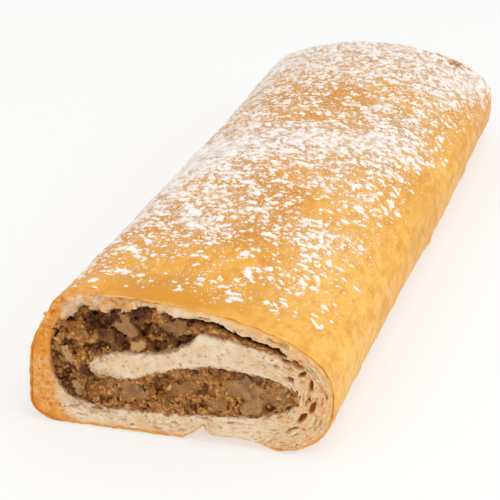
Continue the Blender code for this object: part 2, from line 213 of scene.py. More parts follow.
def smooth_rows(rows: tuple[tuple[float, ...], ...], steps: int) -> Array:
    """Rows of numbers with more rows between them, on a smooth curve through all of them.

    Args:
        rows: The rows that the curve runs through.
        steps: Samples between two rows.

    Returns:
        The longer table.
    """
    line = np.array([rows[0], *rows, rows[-1]])
    made = []
    for a, b, c, d in zip(line, line[1:], line[2:], line[3:]):
        for share in np.arange(steps) / steps:
            made.append(
                b
                + 0.5 * (c - a) * share
                + (a - 2.5 * b + 2.0 * c - 0.5 * d) * share**2
                + 0.5 * (3.0 * b - a - 3.0 * c + d) * share**3
            )
    return np.array([*made, line[-1]])


def any_turn(draw: np.random.Generator) -> Array:
    """A random turn.

    Args:
        draw: The random draw.

    Returns:
        A 3 by 3 matrix whose columns are the turned axes.
    """
    w, x, y, z = draw.normal(size=4)
    scale = 2.0 / (w * w + x * x + y * y + z * z)
    return np.array(
        [
            [1 - scale * (y * y + z * z), scale * (x * y - z * w), scale * (x * z + y * w)],
            [scale * (x * y + z * w), 1 - scale * (x * x + z * z), scale * (y * z - x * w)],
            [scale * (x * z - y * w), scale * (y * z + x * w), 1 - scale * (x * x + y * y)],
        ]
    )


def flat_turn(angle: float) -> Array:
    """A turn about Y that tilts the x axis up by an angle in radians."""
    c, s = math.cos(angle), math.sin(angle)
    return np.array([[c, 0.0, -s], [0.0, 1.0, 0.0], [s, 0.0, c]])


def surface_net(values: Array, axes: tuple[Array, Array, Array]) -> tuple[Array, Array]:
    """Meshes the surface where a field on a grid of points crosses zero.

    Each cell that the surface crosses gets one point, at the middle of its crossings, and each
    grid edge that it crosses gets one face between the four cells around it.

    Args:
        values: The field, less than 0 inside the solid.
        axes: The grid's places along each of its three axes.

    Returns:
        Points, and faces of four points each, that face outwards.
    """
    inside = values < 0
    cells = np.array(values.shape) - 1
    sums = np.zeros((cells.prod(), 3))
    counts = np.zeros(cells.prod(), np.int64)
    quads = []
    for axis in range(3):
        side, other = (axis + 1) % 3, (axis + 2) % 3
        low, high = [slice(None)] * 3, [slice(None)] * 3
        low[axis], high[axis] = slice(None, -1), slice(1, None)
        crossed = inside[tuple(low)] != inside[tuple(high)]
        at = np.argwhere(crossed)
        before, after = values[tuple(low)][crossed], values[tuple(high)][crossed]
        place = np.stack([axes[k][at[:, k]] for k in range(3)], axis=1)
        step = axes[axis][at[:, axis] + 1] - axes[axis][at[:, axis]]
        place[:, axis] += step * before / (before - after)
        corners = []
        for back_side, back_other in ((1, 1), (0, 1), (0, 0), (1, 0)):
            cell = at.copy()
            cell[:, side] -= back_side
            cell[:, other] -= back_other
            real = np.all((cell >= 0) & (cell < cells), axis=1)
            index = np.ravel_multi_index(np.clip(cell, 0, cells - 1).T, cells)
            np.add.at(sums, index[real], place[real])
            np.add.at(counts, index[real], 1)
            corners.append(np.where(real, index, -1))
        quad = np.stack(corners, axis=1)
        quad = np.where((before > 0)[:, None], quad[:, ::-1], quad)
        quads.append(quad[np.all(quad >= 0, axis=1)])
    used = counts > 0
    number = np.cumsum(used) - 1
    return sums[used] / counts[used, None], number[np.concatenate(quads)]


# The roll's form, as its solids have it


@dataclass(frozen=True)
class Section:
    """Outline across the roll: a flat foot with rounded corners, and a dome with its crest off centre."""

    left_half: float
    right_half: float
    left_waist: float
    right_waist: float
    crest_x: float
    crest_height: float
    left_power: float
    right_power: float
    left_foot: float
    right_foot: float
    foot_power: float = 2.3

    def mixed(self, other: Section, share: float) -> Section:
        """The section between this one and another.

        Args:
            other: The section at share 1.
            share: How far towards it.

        Returns:
            The section there.
        """
        sizes = (getattr(self, f.name) for f in fields(Section))
        others = (getattr(other, f.name) for f in fields(Section))
        return Section(*(a + share * (b - a) for a, b in zip(sizes, others)))

    def outline(self, count: int) -> Array:
        """The closed outline, anticlockwise from the right waist.

        Args:
            count: How many evenly spaced points it gets.

        Returns:
            One row of x and z for each point.
        """
        angle = np.linspace(0.0, math.pi / 2, 49)

        def quarter(corner: tuple[float, float], reach: tuple[float, float], power: float) -> Array:
            """A quarter of a superellipse, from its end on the x side to its end on the z side."""
            bend = np.stack([np.cos(angle), np.sin(angle)], axis=1).clip(0.0) ** (2.0 / power)
            return np.array(corner) + np.array(reach) * bend

        sides = []
        for side, half, waist, power, foot in (
            (1, self.right_half, self.right_waist, self.right_power, self.right_foot),
            (-1, self.left_half, self.left_waist, self.left_power, self.left_foot),
        ):
            reach = (side * half - self.crest_x, self.crest_height - waist)
            sides.append(quarter((self.crest_x, waist), reach, power))
            corner = (side * (half - foot), waist)
            sides.append(quarter(corner, (side * foot, -waist), self.foot_power))
        right, right_foot, left, left_foot = sides
        whole = np.concatenate([right, left[-2::-1], left_foot[1:], right_foot[::-1]])
        steps = np.linalg.norm(np.diff(whole, axis=0), axis=1)
        length = np.concatenate([[0.0], np.cumsum(steps)])
        wanted = length[-1] * np.arange(count) / count
        return np.stack([np.interp(wanted, length, whole[:, k]) for k in range(2)], axis=1)


@dataclass
class RollForm:
    """The roll's outer form, sampled on a table.

    u runs once round the roll from its right waist over the crest, 0 to 1. v is the distance
    along the skin: y on the straight, then over the closed end's edge and in across its face.
    """

    front_y: float
    back_y: float
    front: Section = Section(
        0.0552, 0.0557, 0.0083, 0.0234, -0.0326, 0.0533, 2.33, 2.38, 0.0120, 0.0211
    )
    middle: Section = Section(
        0.0577, 0.0599, 0.0156, 0.0216, -0.0174, 0.0509, 2.13, 2.19, 0.0114, 0.0159
    )
    back: Section = Section(
        0.0610, 0.0610, 0.0219, 0.0248, -0.0021, 0.0476, 1.80, 2.04, 0.0115, 0.0138
    )
    cut_skew: float = 0.0404
    end_rounding: float = 0.0133
    end_lift: float = 0.005
    end_reach: float = 0.036
    end_bulge: float = 0.0006
    end_middle: float = 0.021
    swell_spacing: float = 0.034
    swell_height: float = 0.0011
    blister_spacing: float = 0.012
    blister_height: float = 0.0005
    foot_fade: float = 0.008
    rounds: int = 480
    stations: int = 100
    seam: tuple[tuple[float, float], ...] = (
        (0.0022, 0.0),
        (0.0030, 0.0012),
        (0.0060, 0.0030),
        (0.0088, 0.0058),
        (0.0097, 0.0064),
        (0.0106, 0.0040),
        (0.0135, 0.0026),
        (0.0210, 0.0030),
        (0.0262, 0.0024),
        (0.0305, 0.0016),
        (0.0345, 0.0),
    )

    def __post_init__(self) -> None:
        """Fills the table of outlines with their swells."""
        self.straight_end = self.back_y - self.end_rounding
        self.end_v = self.straight_end + self.end_rounding * math.pi / 2 + self.end_reach
        self.station_y = np.linspace(self.front_y, self.back_y, self.stations)
        self.table = np.stack([self.swollen_outline(y) for y in self.station_y])

    def section(self, y: float) -> Section:
        """The section at a place along the roll."""
        place = 2 * (y - self.front_y) / (self.back_y - self.front_y)
        if place < 1:
            return self.front.mixed(self.middle, place)
        return self.middle.mixed(self.back, place - 1)

    def swollen_outline(self, y: float) -> Array:
        """The outline at y with the soft swells that the solids have.

        Args:
            y: Place along the roll.

        Returns:
            One row of x and z for each point round the roll.
        """
        ring = self.section(y).outline(self.rounds)
        along = np.roll(ring, -1, axis=0) - np.roll(ring, 1, axis=0)
        out = np.stack([along[:, 1], -along[:, 0]], axis=1)
        out /= np.linalg.norm(out, axis=1, keepdims=True)
        shift = Vector((7.3, 1.9, 4.1))
        lifts = []
        for x, z in ring:
            soft = noise.noise(Vector((x, y * 0.55, z)) / self.swell_spacing)
            blister = noise.noise(Vector((x, y, z)) / self.blister_spacing + shift)
            fade = min(1.0, max(0.0, z / self.foot_fade))
            lifts.append(fade * (self.swell_height * soft + self.blister_height * blister))
        ring = ring + out * np.array(lifts)[:, None]
        return np.stack([ring[:, 0], ring[:, 1].clip(0.0)], axis=1)

    def cut_y(self, x: Array) -> Array:
        """The knife's plane at x."""
        return self.front_y + self.cut_skew * (x + self.front.left_half)

    def seam_rise(self, x: Array) -> Array:
        """How far the foot rises at x along the seam of the dough sheet."""
        line = np.array(self.seam)
        return np.interp(x, line[:, 0], line[:, 1], left=0.0, right=0.0)

    def across(self, u: Array, y: Array) -> Array:
        """The outline's point at a share of the way round.

        Args:
            u: Share of the way round.
            y: Place along the roll.

        Returns:
            x and z of each point.
        """
        place = (y - self.front_y) / (self.back_y - self.front_y) * (self.stations - 1)
        place = np.clip(place, 0.0, self.stations - 1.001)
        row = place.astype(int)
        turn = (u % 1.0) * self.rounds
        column = turn.astype(int) % self.rounds
        beside = (column + 1) % self.rounds
        down, over = (place - row)[..., None], (turn - np.floor(turn))[..., None]
        near = self.table[row, column] * (1 - over) + self.table[row, beside] * over
        far = self.table[row + 1, column] * (1 - over) + self.table[row + 1, beside] * over
        return near * (1 - down) + far * down

    def point(self, u: Array, v: Array) -> Array:
        """Points on the skin, from the cut over the closed end to its middle.

        Args:
            u: Share of the way round.
            v: Distance along the skin.

        Returns:
            x, y and z of each point.
        """
        bend = np.clip((v - self.straight_end) / self.end_rounding, 0.0, math.pi / 2)
        inset = self.end_rounding * (1 - np.cos(bend))
        y = np.minimum(v, self.straight_end) + self.end_rounding * np.sin(bend)
        flat = self.across(u, y)
        arc = self.end_rounding * math.pi / 2
        cap = np.clip((v - self.straight_end - arc) / self.end_reach, 0.0, 1.0)
        x = flat[..., 0] * (1 - inset / self.back.right_half) * (1 - cap)
        high = flat[..., 1] / self.back.crest_height
        z = flat[..., 1] * (1 - inset / self.back.crest_height)
        z = z + self.end_lift * inset / self.end_rounding * (1 - high)
        z = self.end_middle + (z - self.end_middle) * (1 - cap)
        z = np.maximum(z, np.where(high < 0.13, self.seam_rise(flat[..., 0]), 0.0))
        bulge = self.end_bulge * (1 - (1 - cap) ** 2)
        return np.stack([x, y + bulge, z], axis=-1)

    def normal(self, u: Array, v: Array) -> Array:
        """Directions that point out of the skin.

        Args:
            u: Share of the way round.
            v: Distance along the skin.

        Returns:
            One unit vector for each place.
        """
        step_u, step_v = 0.5 / self.rounds, 0.0004
        round_way = self.point(u + step_u, v) - self.point(u - step_u, v)
        long_way = self.point(u, v + step_v) - self.point(u, v - step_v)
        out = np.cross(long_way, round_way)
        return out / np.maximum(np.linalg.norm(out, axis=-1, keepdims=True), 1e-12)


@dataclass
class CrustRelief:
    """The fine relief of the baked skin: blisters, pimples and wrinkles that run lengthwise."""

    form: RollForm
    seed: int = 21
    dapple: float = 0.00030
    dapple_size: float = 0.0075
    pimple: float = 0.00016
    pimple_size: float = 0.0026
    blister: float = 0.0013
    blister_size: float = 0.0095
    blister_start: float = 0.42
    wrinkle: float = 0.00026
    wrinkle_size: tuple[float, float, float] = (0.0034, 0.030, 0.0034)
    rough: float = 0.0007
    rough_size: float = 0.0021
    fold: float = 0.0016

    def __post_init__(self) -> None:
        """Makes the relief's noise."""
        self.noise = LatticeNoise(self.seed)

    def rough_share(self, points: Array) -> Array:
        """How torn the skin is: fully at the top left of the cut."""
        behind = points[..., 1] - self.form.cut_y(points[..., 0])
        sides = ramp(-0.0575, -0.050, points[..., 0]) * ramp(-0.024, -0.034, points[..., 0])
        return sides * ramp(0.011, 0.004, behind) * ramp(0.030, 0.040, points[..., 2])

    def height(self, points: Array) -> Array:
        """How far the skin stands out at points of the plain form.

        Args:
            points: Places, with x, y and z last.

        Returns:
            A height for each point.
        """
        made = self.dapple * self.noise.at(points, self.dapple_size)
        made += self.pimple * self.noise.at(points + 0.3, self.pimple_size)
        raised = self.noise.at(points + 0.7, self.blister_size) - self.blister_start
        made += self.blister * raised.clip(0.0)
        made += self.wrinkle * self.noise.at(points + 1.1, self.wrinkle_size)
        torn = self.rough_share(points)
        made += self.rough * torn * self.noise.layered(points + 1.7, self.rough_size, 2)
        behind_end = points[..., 1] - self.form.straight_end
        across = np.stack([points[..., 0], 0 * points[..., 0], points[..., 2]], axis=-1)
        folds = 1 - np.abs(self.noise.at(across + 2.3, 0.013)) * 4
        made -= self.fold * ramp(0.008, 0.015, behind_end) * folds.clip(0.0)
        return made * ramp(0.0, 0.003, points[..., 2])


# Meshes


def make_mesh(
    name: str, points: Array, faces: Array, masks: dict[str, Array] | None = None
) -> bpy.types.Object:
    """Makes a smooth-shaded mesh object with its masks.

    Args:
        name: The piece's name.
        points: One row of x, y and z for each point.
        faces: One row of point numbers for each face.
        masks: Numbers for each point, by name, that its material reads.

    Returns:
        The linked object.
    """
    mesh = bpy.data.meshes.new(name)
    mesh.from_pydata(points.tolist(), [], faces.tolist())
    for mask, values in (masks or {}).items():
        layer = mesh.attributes.new(mask, "FLOAT", "POINT")
        layer.data.foreach_set("value", np.asarray(values, np.float32))
    mesh.shade_smooth()
    made = bpy.data.objects.new(name, mesh)
    bpy.context.scene.collection.objects.link(made)
    return made


def settle(piece: bpy.types.Object, node: Node, material: bpy.types.Material) -> None:
    """Gives a piece its material and its body, and hides the solid that it stands for.

    Args:
        piece: The piece.
        node: The solid that it replaces.
        material: Its material.
    """
    piece.data.materials.append(material)
    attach(piece, "root")
    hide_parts(node.value)
    triangles = sum(len(face.vertices) - 2 for face in piece.data.polygons)
    LOG.info("%s: %d triangles", piece.name, triangles)


@dataclass(frozen=True)
class Lump:
    """A rounded block in a carved block's own axes: across, behind the knife, and up."""

    centre: tuple[float, float, float]
    radii: tuple[float, float, float]
    turn: Array
    power: float = 2.4


class CutBlock:
    """The food just behind the knife, as a field of distances on a grid of points.

    Its axes are x, the depth behind the knife's plane, and z. Points of its mesh are moved back
    into the roll's own axes.
    """

    def __init__(self, form: RollForm, cell: float, depth: float, fine: float = 0.007) -> None:
        """Lays out the grid.

        Args:
            form: The roll's form.
            cell: Spacing of the grid's points at the cut.
            depth: How far the block reaches behind the knife.
            fine: How deep the fine spacing goes. Behind it the spacing grows.
        """
        self.form, self.cell, self.depth = form, cell, depth
        half, high = form.front.right_half + 0.003, form.front.crest_height + 0.003
        xs = np.arange(-half, half, cell)
        zs = np.arange(-0.002, high, cell)
        behind = list(np.arange(-0.0021, fine, cell))
        while behind[-1] < depth + cell:
            behind.append(behind[-1] + 1.35 * (behind[-1] - behind[-2]))
        self.axes = (xs, np.array(behind), zs)
        self.flat = np.stack(np.meshgrid(xs, zs, indexing="ij"), axis=-1)
        self.behind = self.axes[1][None, :, None]
        self.values = np.full([len(a) for a in self.axes], FAR, np.float32)

    def points(self) -> Array:
        """Every point of the grid, with x, depth and z last."""
        return np.stack(np.meshgrid(*self.axes, indexing="ij"), axis=-1)

    def flat_noise(self, source: LatticeNoise, spacing: float, layer: float = 0.0) -> Array:
        """Noise over the cut face.

        Args:
            source: The noise.
            spacing: Size of its lumps.
            layer: Which slice of the noise is used.

        Returns:
            One number for each x and z of the grid.
        """
        x, z = self.flat[..., 0], self.flat[..., 1]
        return source.at(np.stack([x, np.full_like(x, layer), z], axis=-1), spacing)

    def near(self, lump: Lump) -> tuple[tuple[slice, ...], Array] | None:
        """The grid points around a lump and their distances to it.

        Args:
            lump: The lump.

        Returns:
            The part of the grid and the distances there, or None off the grid.
        """
        reach = max(lump.radii) + 3 * self.cell
        part = []
        for axis, middle in zip(self.axes, lump.centre):
            first, last = np.searchsorted(axis, (middle - reach, middle + reach))
            if last - first < 2:
                return None
            part.append(slice(first, last))
        grid = np.meshgrid(*(a[p] for a, p in zip(self.axes, part)), indexing="ij")
        local = (np.stack(grid, axis=-1) - lump.centre) @ lump.turn
        scaled = np.abs(local / lump.radii) ** lump.power
        gap = (scaled.sum(axis=-1) ** (1 / lump.power) - 1) * min(lump.radii)
        return tuple(part), gap

    def add(self, lump: Lump, soft: float = 0.0002) -> None:
        """Joins a lump on, with a soft crease where it meets the rest."""
        found = self.near(lump)
        if found:
            part, gap = found
            here = self.values[part]
            blend = np.maximum(soft - np.abs(here - gap), 0.0) / soft
            self.values[part] = np.minimum(here, gap) - blend**2 * soft / 4

    def carve(self, lump: Lump) -> None:
        """Takes a lump away."""
        found = self.near(lump)
        if found:
            part, gap = found
            self.values[part] = np.maximum(self.values[part], -gap)

    def keep_within(self, distance: Array) -> None:
        """Takes away all that is outside a field of distances."""
        self.values = np.maximum(self.values, distance).astype(np.float32)

    def cells(self, local: Array) -> tuple[Array, ...]:
        """The numbers of the grid's points that lie next to places in the block's axes."""
        found = (np.searchsorted(axis, local[:, k]) for k, axis in enumerate(self.axes))
        return tuple(cell.clip(0, len(axis) - 1) for cell, axis in zip(found, self.axes))

    def meshed(self) -> tuple[Array, Array, Array]:
        """Meshes the block.

        Returns:
            Its points in the block's axes, the same points in the roll's axes, and its faces.
        """
        self.values[:, [0, -1], :] = FAR
        local, faces = surface_net(self.values, self.axes)
        points = local.copy()
        points[:, 1] += self.form.cut_y(local[:, 0])
        return local, points, faces


# Materials


def linear(red: float, green: float, blue: float) -> tuple[float, float, float, float]:
    """A colour for a shader from display values of 0 to 255.

    Args:
        red: Red as it shows.
        green: Green as it shows.
        blue: Blue as it shows.

    Returns:
        The colour as light, with full alpha.
    """

    def light(value: float) -> float:
        """One channel as light."""
        share = value / 255
        return share / 12.92 if share <= 0.04045 else ((share + 0.055) / 1.055) ** 2.4

    return light(red), light(green), light(blue), 1.0


class NodeSheet:
    """A node tree with short calls to add and join its nodes."""

    def __init__(self, tree: bpy.types.NodeTree) -> None:
        """Holds the tree.

        Args:
            tree: A material's or a group's node tree.
        """
        self.tree = tree

    def add(self, kind: str, **settings: object) -> bpy.types.Node:
        """Adds a node.

        Args:
            kind: The node's type.
            settings: Properties to set on it.

        Returns:
            The node.
        """
        node = self.tree.nodes.new(kind)
        for name, value in settings.items():
            setattr(node, name, value)
        return node

    def put(self, socket: Socket, value: object) -> None:
        """Sets a socket to a number or colour, or joins another socket to it."""
        if isinstance(value, Socket):
            self.tree.links.new(value, socket)
        else:
            socket.default_value = value

    def maths(self, operation: str, *values: object, clamp: bool = False) -> Socket:
        """A sum of one or two numbers.

        Args:
            operation: The kind of sum.
            values: Numbers or sockets.
            clamp: Whether the result is held between 0 and 1.

        Returns:
            The result's socket.
        """
        node = self.add("ShaderNodeMath", operation=operation, use_clamp=clamp)
        for socket, value in zip(node.inputs, values):
            self.put(socket, value)
        return node.outputs[0]

    def times(self, first: object, second: object) -> Socket:
        """The product of two numbers or sockets."""
        return self.maths("MULTIPLY", first, second)

    def mix(
        self, share: object, first: object, second: object, strength: float = 1.0
    ) -> Socket:
        """Mixes two colours.

        Args:
            share: How much of the second, 0 to 1.
            first: A colour or socket.
            second: A colour or socket.
            strength: What the share is multiplied by.

        Returns:
            The mixed colour's socket.
        """
        if strength != 1.0:
            share = self.times(share, strength)
        node = self.add("ShaderNodeMix", data_type="RGBA")
        self.put(node.inputs["Factor"], share)
        self.put(node.inputs[6], first)
        self.put(node.inputs[7], second)
        return node.outputs[2]

    def noise(
        self, place: object, seed: object, scale: object, detail: object, roughness: float = 0.5
    ) -> Socket:
        """Noise from 0 to 1.

        Args:
            place: Where it is read.
            seed: Which noise it is.
            scale: How fine it is.
            detail: How many finer layers it has.
            roughness: How strong the finer layers are.

        Returns:
            The noise's socket.
        """
        node = self.add("ShaderNodeTexNoise", noise_dimensions="4D")
        wanted = {"Vector": place, "W": seed, "Scale": scale, "Detail": detail, "Roughness": roughness}
        for name, value in wanted.items():
            self.put(node.inputs[name], value)
        return node.outputs["Fac"]

    def mask(self, name: str) -> Socket:
        """The numbers that the mesh carries under a name."""
        return self.add("ShaderNodeAttribute", attribute_name=name).outputs["Fac"]

    def steps(self, value: object, low: object, high: object) -> Socket:
        """A smooth step of a number.

        Args:
            value: The number's socket.
            low: Where the result is 0, a number or socket.
            high: Where the result is 1, a number or socket.

        Returns:
            The result's socket.
        """
        node = self.add("ShaderNodeMapRange", interpolation_type="SMOOTHSTEP")
        self.put(node.inputs["Value"], value)
        self.put(node.inputs["From Min"], low)
        self.put(node.inputs["From Max"], high)
        return node.outputs["Result"]

    def group(self, tree: bpy.types.NodeTree, **values: object) -> bpy.types.Node:
        """Adds a group with its values.

        Args:
            tree: The group's own tree.
            values: Values of its inputs, with _ for a space in a name.

        Returns:
            The group's node.
        """
        node = self.add("ShaderNodeGroup", node_tree=tree)
        for name, value in values.items():
            self.put(node.inputs[name.replace("_", " ")], value)
        return node


class Effects:
    """Shader node groups that more than one finish uses."""

    grain_detail = 2.0
    speck_detail = 3.0
    speck_roughness = 0.65
    # The noise from which specks show without cover, and how far full cover lowers it
    speck_level = 0.67
    speck_reach = 0.24

    def __init__(self) -> None:
        """Builds each group once."""
        self.mottle = self._mottle()
        self.grain = self._grain()
        self.speckle = self._speckle()

    @staticmethod
    def _start(name: str, inputs: dict[str, float], outputs: tuple[str, ...]) -> tuple:
        """Starts a group.

        Args:
            name: The group's name.
            inputs: Its inputs with their usual values.
            outputs: Its outputs.

        Returns:
            The group's sheet, its input node and its output node.
        """
        tree = bpy.data.node_groups.new(name, "ShaderNodeTree")
        for label, value in inputs.items():
            socket = tree.interface.new_socket(label, in_out="INPUT", socket_type="NodeSocketFloat")
            socket.default_value = value
        for label in outputs:
            tree.interface.new_socket(label, in_out="OUTPUT", socket_type="NodeSocketFloat")
        sheet = NodeSheet(tree)
        return sheet, sheet.add("NodeGroupInput"), sheet.add("NodeGroupOutput")

    def _mottle(self) -> bpy.types.NodeTree:
        """Soft uneven patches.

        Returns:
            A group that puts out a mask.
        """
        wanted = {"Scale": 60.0, "Detail": 3.0, "Low": 0.4, "High": 0.6, "Seed": 0.0, "Along": 1.0}
        sheet, ins, outs = self._start("mottle", wanted, ("Mask",))
        parts = sheet.add("ShaderNodeSeparateXYZ")
        sheet.put(parts.inputs[0], sheet.add("ShaderNodeTexCoord").outputs["Object"])
        joined = sheet.add("ShaderNodeCombineXYZ")
        sheet.put(joined.inputs[0], parts.outputs[0])
        sheet.put(joined.inputs[1], sheet.times(parts.outputs[1], ins.outputs["Along"]))
        sheet.put(joined.inputs[2], parts.outputs[2])
        seed, scale, detail = (ins.outputs[name] for name in ("Seed", "Scale", "Detail"))
        patches = sheet.noise(joined.outputs[0], seed, scale, detail)
        sheet.put(outs.inputs["Mask"], sheet.steps(patches, ins.outputs["Low"], ins.outputs["High"]))
        return sheet.tree

    def _grain(self) -> bpy.types.NodeTree:
        """Fine baked grain in two sizes.

        Returns:
            A group that puts out a height of about 0 to 1.
        """
        wanted = {"Coarse Scale": 400.0, "Fine Scale": 1500.0, "Fine Share": 0.4, "Seed": 0.0}
        sheet, ins, outs = self._start("grain", wanted, ("Height",))
        place, seed = sheet.add("ShaderNodeTexCoord").outputs["Object"], ins.outputs["Seed"]
        coarse = sheet.noise(place, seed, ins.outputs["Coarse Scale"], self.grain_detail)
        fine = sheet.noise(place, seed, ins.outputs["Fine Scale"], self.grain_detail)
        fine = sheet.times(fine, ins.outputs["Fine Share"])
        sheet.put(outs.inputs["Height"], sheet.maths("ADD", coarse, fine))
        return sheet.tree

    def _speckle(self) -> bpy.types.NodeTree:
        """Small separate specks, more of them where the cover is higher.

        Returns:
            A group that puts out a mask.
        """
        wanted = {"Scale": 900.0, "Cover": 0.5, "Softness": 0.06, "Seed": 0.0}
        sheet, ins, outs = self._start("speckle", wanted, ("Mask",))
        place = sheet.add("ShaderNodeTexCoord").outputs["Object"]
        seed, scale = ins.outputs["Seed"], ins.outputs["Scale"]
        lumps = sheet.noise(place, seed, scale, self.speck_detail, self.speck_roughness)
        covered = sheet.times(ins.outputs["Cover"], self.speck_reach)
        level = sheet.maths("SUBTRACT", self.speck_level, covered)
        top = sheet.maths("ADD", level, ins.outputs["Softness"])
        sheet.put(outs.inputs["Mask"], sheet.steps(lumps, level, top))
        return sheet.tree


@dataclass(frozen=True)
class Mottle:
    """One layer of soft patches: how fine, where it starts and is full, and its stretch."""

    scale: float
    detail: float
    low: float
    high: float
    seed: float
    along: float = 1.0

    def on(self, sheet: NodeSheet, effects: Effects) -> Socket:
        """Adds the layer to a material's sheet, and puts out its mask."""
        own = {f.name.capitalize(): getattr(self, f.name) for f in fields(self)}
        return sheet.group(effects.mottle, **own).outputs["Mask"]


@dataclass(frozen=True)
class Grain:
    """The fine grain of a bump: scales of its two sizes, the finer one's share, and its height."""

    coarse: float
    fine: float
    share: float
    seed: float
    height: float
    strength: float


@dataclass(frozen=True)
class Surface:
    """How a finish takes the light, how far light spreads inside it, and its grain."""

    roughness: float
    specular: float
    glow: float
    glow_radius: tuple[float, float, float]
    glow_depth: float
    grain: Grain


@dataclass(frozen=True)
class Coat:
    """A colour over those below it: where a mask or a layer of patches says, and how strongly."""

    where: str | Mottle
    colour: tuple
    share: float = 1.0


class Finish:
    """What every finish shares: coats of colour over a base, on one Principled shader."""

    title: str
    base: tuple
    coats: tuple[Coat, ...]
    surface: Surface

    def masks(self, sheet: NodeSheet, effects: Effects) -> dict[str, Socket]:
        """Masks that a finish works out itself, by name."""
        return {}

    def material(self, effects: Effects) -> bpy.types.Material:
        """Builds the material.

        Args:
            effects: The shared node groups.

        Returns:
            The material.
        """
        material = bpy.data.materials.new(self.title)
        material.use_nodes = True
        sheet = NodeSheet(material.node_tree)
        shader = material.node_tree.nodes["Principled BSDF"]
        masks, own, colour = self.masks(sheet, effects), self.surface, self.base
        for coat in self.coats:
            if isinstance(coat.where, Mottle):
                where = coat.where.on(sheet, effects)
            else:
                where = masks[coat.where] if coat.where in masks else sheet.mask(coat.where)
            colour = sheet.mix(where, colour, coat.colour, coat.share)
        sheet.put(shader.inputs["Base Color"], colour)
        sheet.put(shader.inputs["Roughness"], masks.get("roughness", own.roughness))
        shader.inputs["Metallic"].default_value = 0.0
        shader.inputs["Specular IOR Level"].default_value = own.specular
        shader.inputs["Subsurface Weight"].default_value = own.glow
        shader.inputs["Subsurface Radius"].default_value = own.glow_radius
        shader.inputs["Subsurface Scale"].default_value = own.glow_depth
        grain = own.grain
        scales = {"Coarse_Scale": grain.coarse, "Fine_Scale": grain.fine, "Fine_Share": grain.share}
        rises = sheet.group(effects.grain, Seed=grain.seed, **scales).outputs["Height"]
        bump = sheet.add("ShaderNodeBump")
        bump.inputs["Distance"].default_value = grain.height
        bump.inputs["Strength"].default_value = grain.strength
        sheet.put(bump.inputs["Height"], sheet.maths("ADD", rises, masks.get("lift", 0.0)))
        sheet.put(shader.inputs["Normal"], bump.outputs["Normal"])
        return material


@dataclass(frozen=True)
class CrustFinish(Finish):
    """Golden baked skin: uneven browning, a faint egg-wash gloss and the finest dust of sugar, with
    painted light on the front and right flank, painted shade on the left side and a painted warm
    reflection low down.
    """

    pale: tuple = linear(252, 200, 102)
    golden: tuple = linear(239, 173, 56)
    amber: tuple = linear(217, 148, 32)
    orange: tuple = linear(216, 135, 29)
    toasted: tuple = linear(182, 103, 19)
    brown: tuple = linear(152, 82, 34)
    cut_edge: tuple = linear(244, 196, 118)
    dust: tuple = linear(247, 240, 238)
    title: str = "golden_crust"
    base: tuple = golden
    coats: tuple[Coat, ...] = (
        Coat(Mottle(scale=30.0, detail=3.0, low=0.38, high=0.62, seed=1.0), amber),
        # Paler crust, partly painted light on the front and the right flank
        Coat("pale", pale, 0.85),
        Coat("small", amber, 0.45),
        # Orange browning, with a painted warm reflection low down and painted shade on the left side
        Coat("orange", orange),
        Coat("streaks", orange, 0.40),
        Coat(Mottle(scale=560.0, detail=3.0, low=0.48, high=0.70, seed=3.0), orange, 0.36),
        Coat("marks", toasted),
        # Browned spots, foot and end, with painted shade on the left side near the cut
        Coat("brown", brown),
        Coat("edge", cut_edge),
        Coat("dust", dust, 0.03),
        Coat("specks", dust),
    )
    small: Mottle = Mottle(scale=150.0, detail=4.0, low=0.40, high=0.66, seed=2.0)
    streaks: Mottle = Mottle(scale=230.0, detail=3.0, low=0.50, high=0.68, seed=4.0, along=0.22)
    marks: Mottle = Mottle(scale=340.0, detail=4.0, low=0.53, high=0.66, seed=13.0, along=0.5)
    # How strong the marks are at least, and how much more where the skin is orange
    marks_share: tuple[float, float] = (0.16, 0.7)
    # The cut edge shows fully where the small patches are low, and less where they are high
    edge_patches: tuple[float, float] = (1.1, -0.2)
    specks: float = 0.70
    speck_scale: float = 1250.0
    speck_seed: float = 4.0
    # What patches and sugar add to the roughness, and sugar and streaks to the bump
    dull_patches: float = 0.14
    dull_sugar: float = 0.4
    sugar_lift: float = 1.2
    streak_lift: float = -0.35
    surface: Surface = Surface(
        roughness=0.40, specular=0.27, glow=0.12, glow_radius=(1.0, 0.45, 0.2), glow_depth=0.0020,
        grain=Grain(coarse=420.0, fine=1400.0, share=0.5, seed=0.0, height=0.00055, strength=0.8),
    )

    def masks(self, sheet: NodeSheet, effects: Effects) -> dict[str, Socket]:
        """Works out the small patches, streaks, baked marks, cut edge and specks of sugar.

        Args:
            sheet: The material's sheet.
            effects: The shared node groups.

        Returns:
            The masks, by name.
        """
        small, streaks = self.small.on(sheet, effects), self.streaks.on(sheet, effects)
        least, more = self.marks_share
        baked = sheet.maths("ADD", sheet.times(sheet.mask("orange"), more), least)
        specked = sheet.group(
            effects.speckle, Scale=self.speck_scale, Cover=sheet.mask("dust"), Seed=self.speck_seed
        )
        specks = sheet.times(specked.outputs["Mask"], self.specks)
        lift = sheet.times(specks, self.sugar_lift)
        dull = sheet.maths("ADD", sheet.times(small, self.dull_patches), self.surface.roughness)
        return {
            "small": small,
            "streaks": streaks,
            "marks": sheet.times(self.marks.on(sheet, effects), baked),
            "edge": sheet.times(sheet.mask("rim"), sheet.steps(small, *self.edge_patches)),
            "specks": specks,
            "lift": sheet.maths("ADD", lift, sheet.times(streaks, self.streak_lift)),
            "roughness": sheet.maths("ADD", dull, sheet.times(specks, self.dull_sugar), clamp=True),
        }


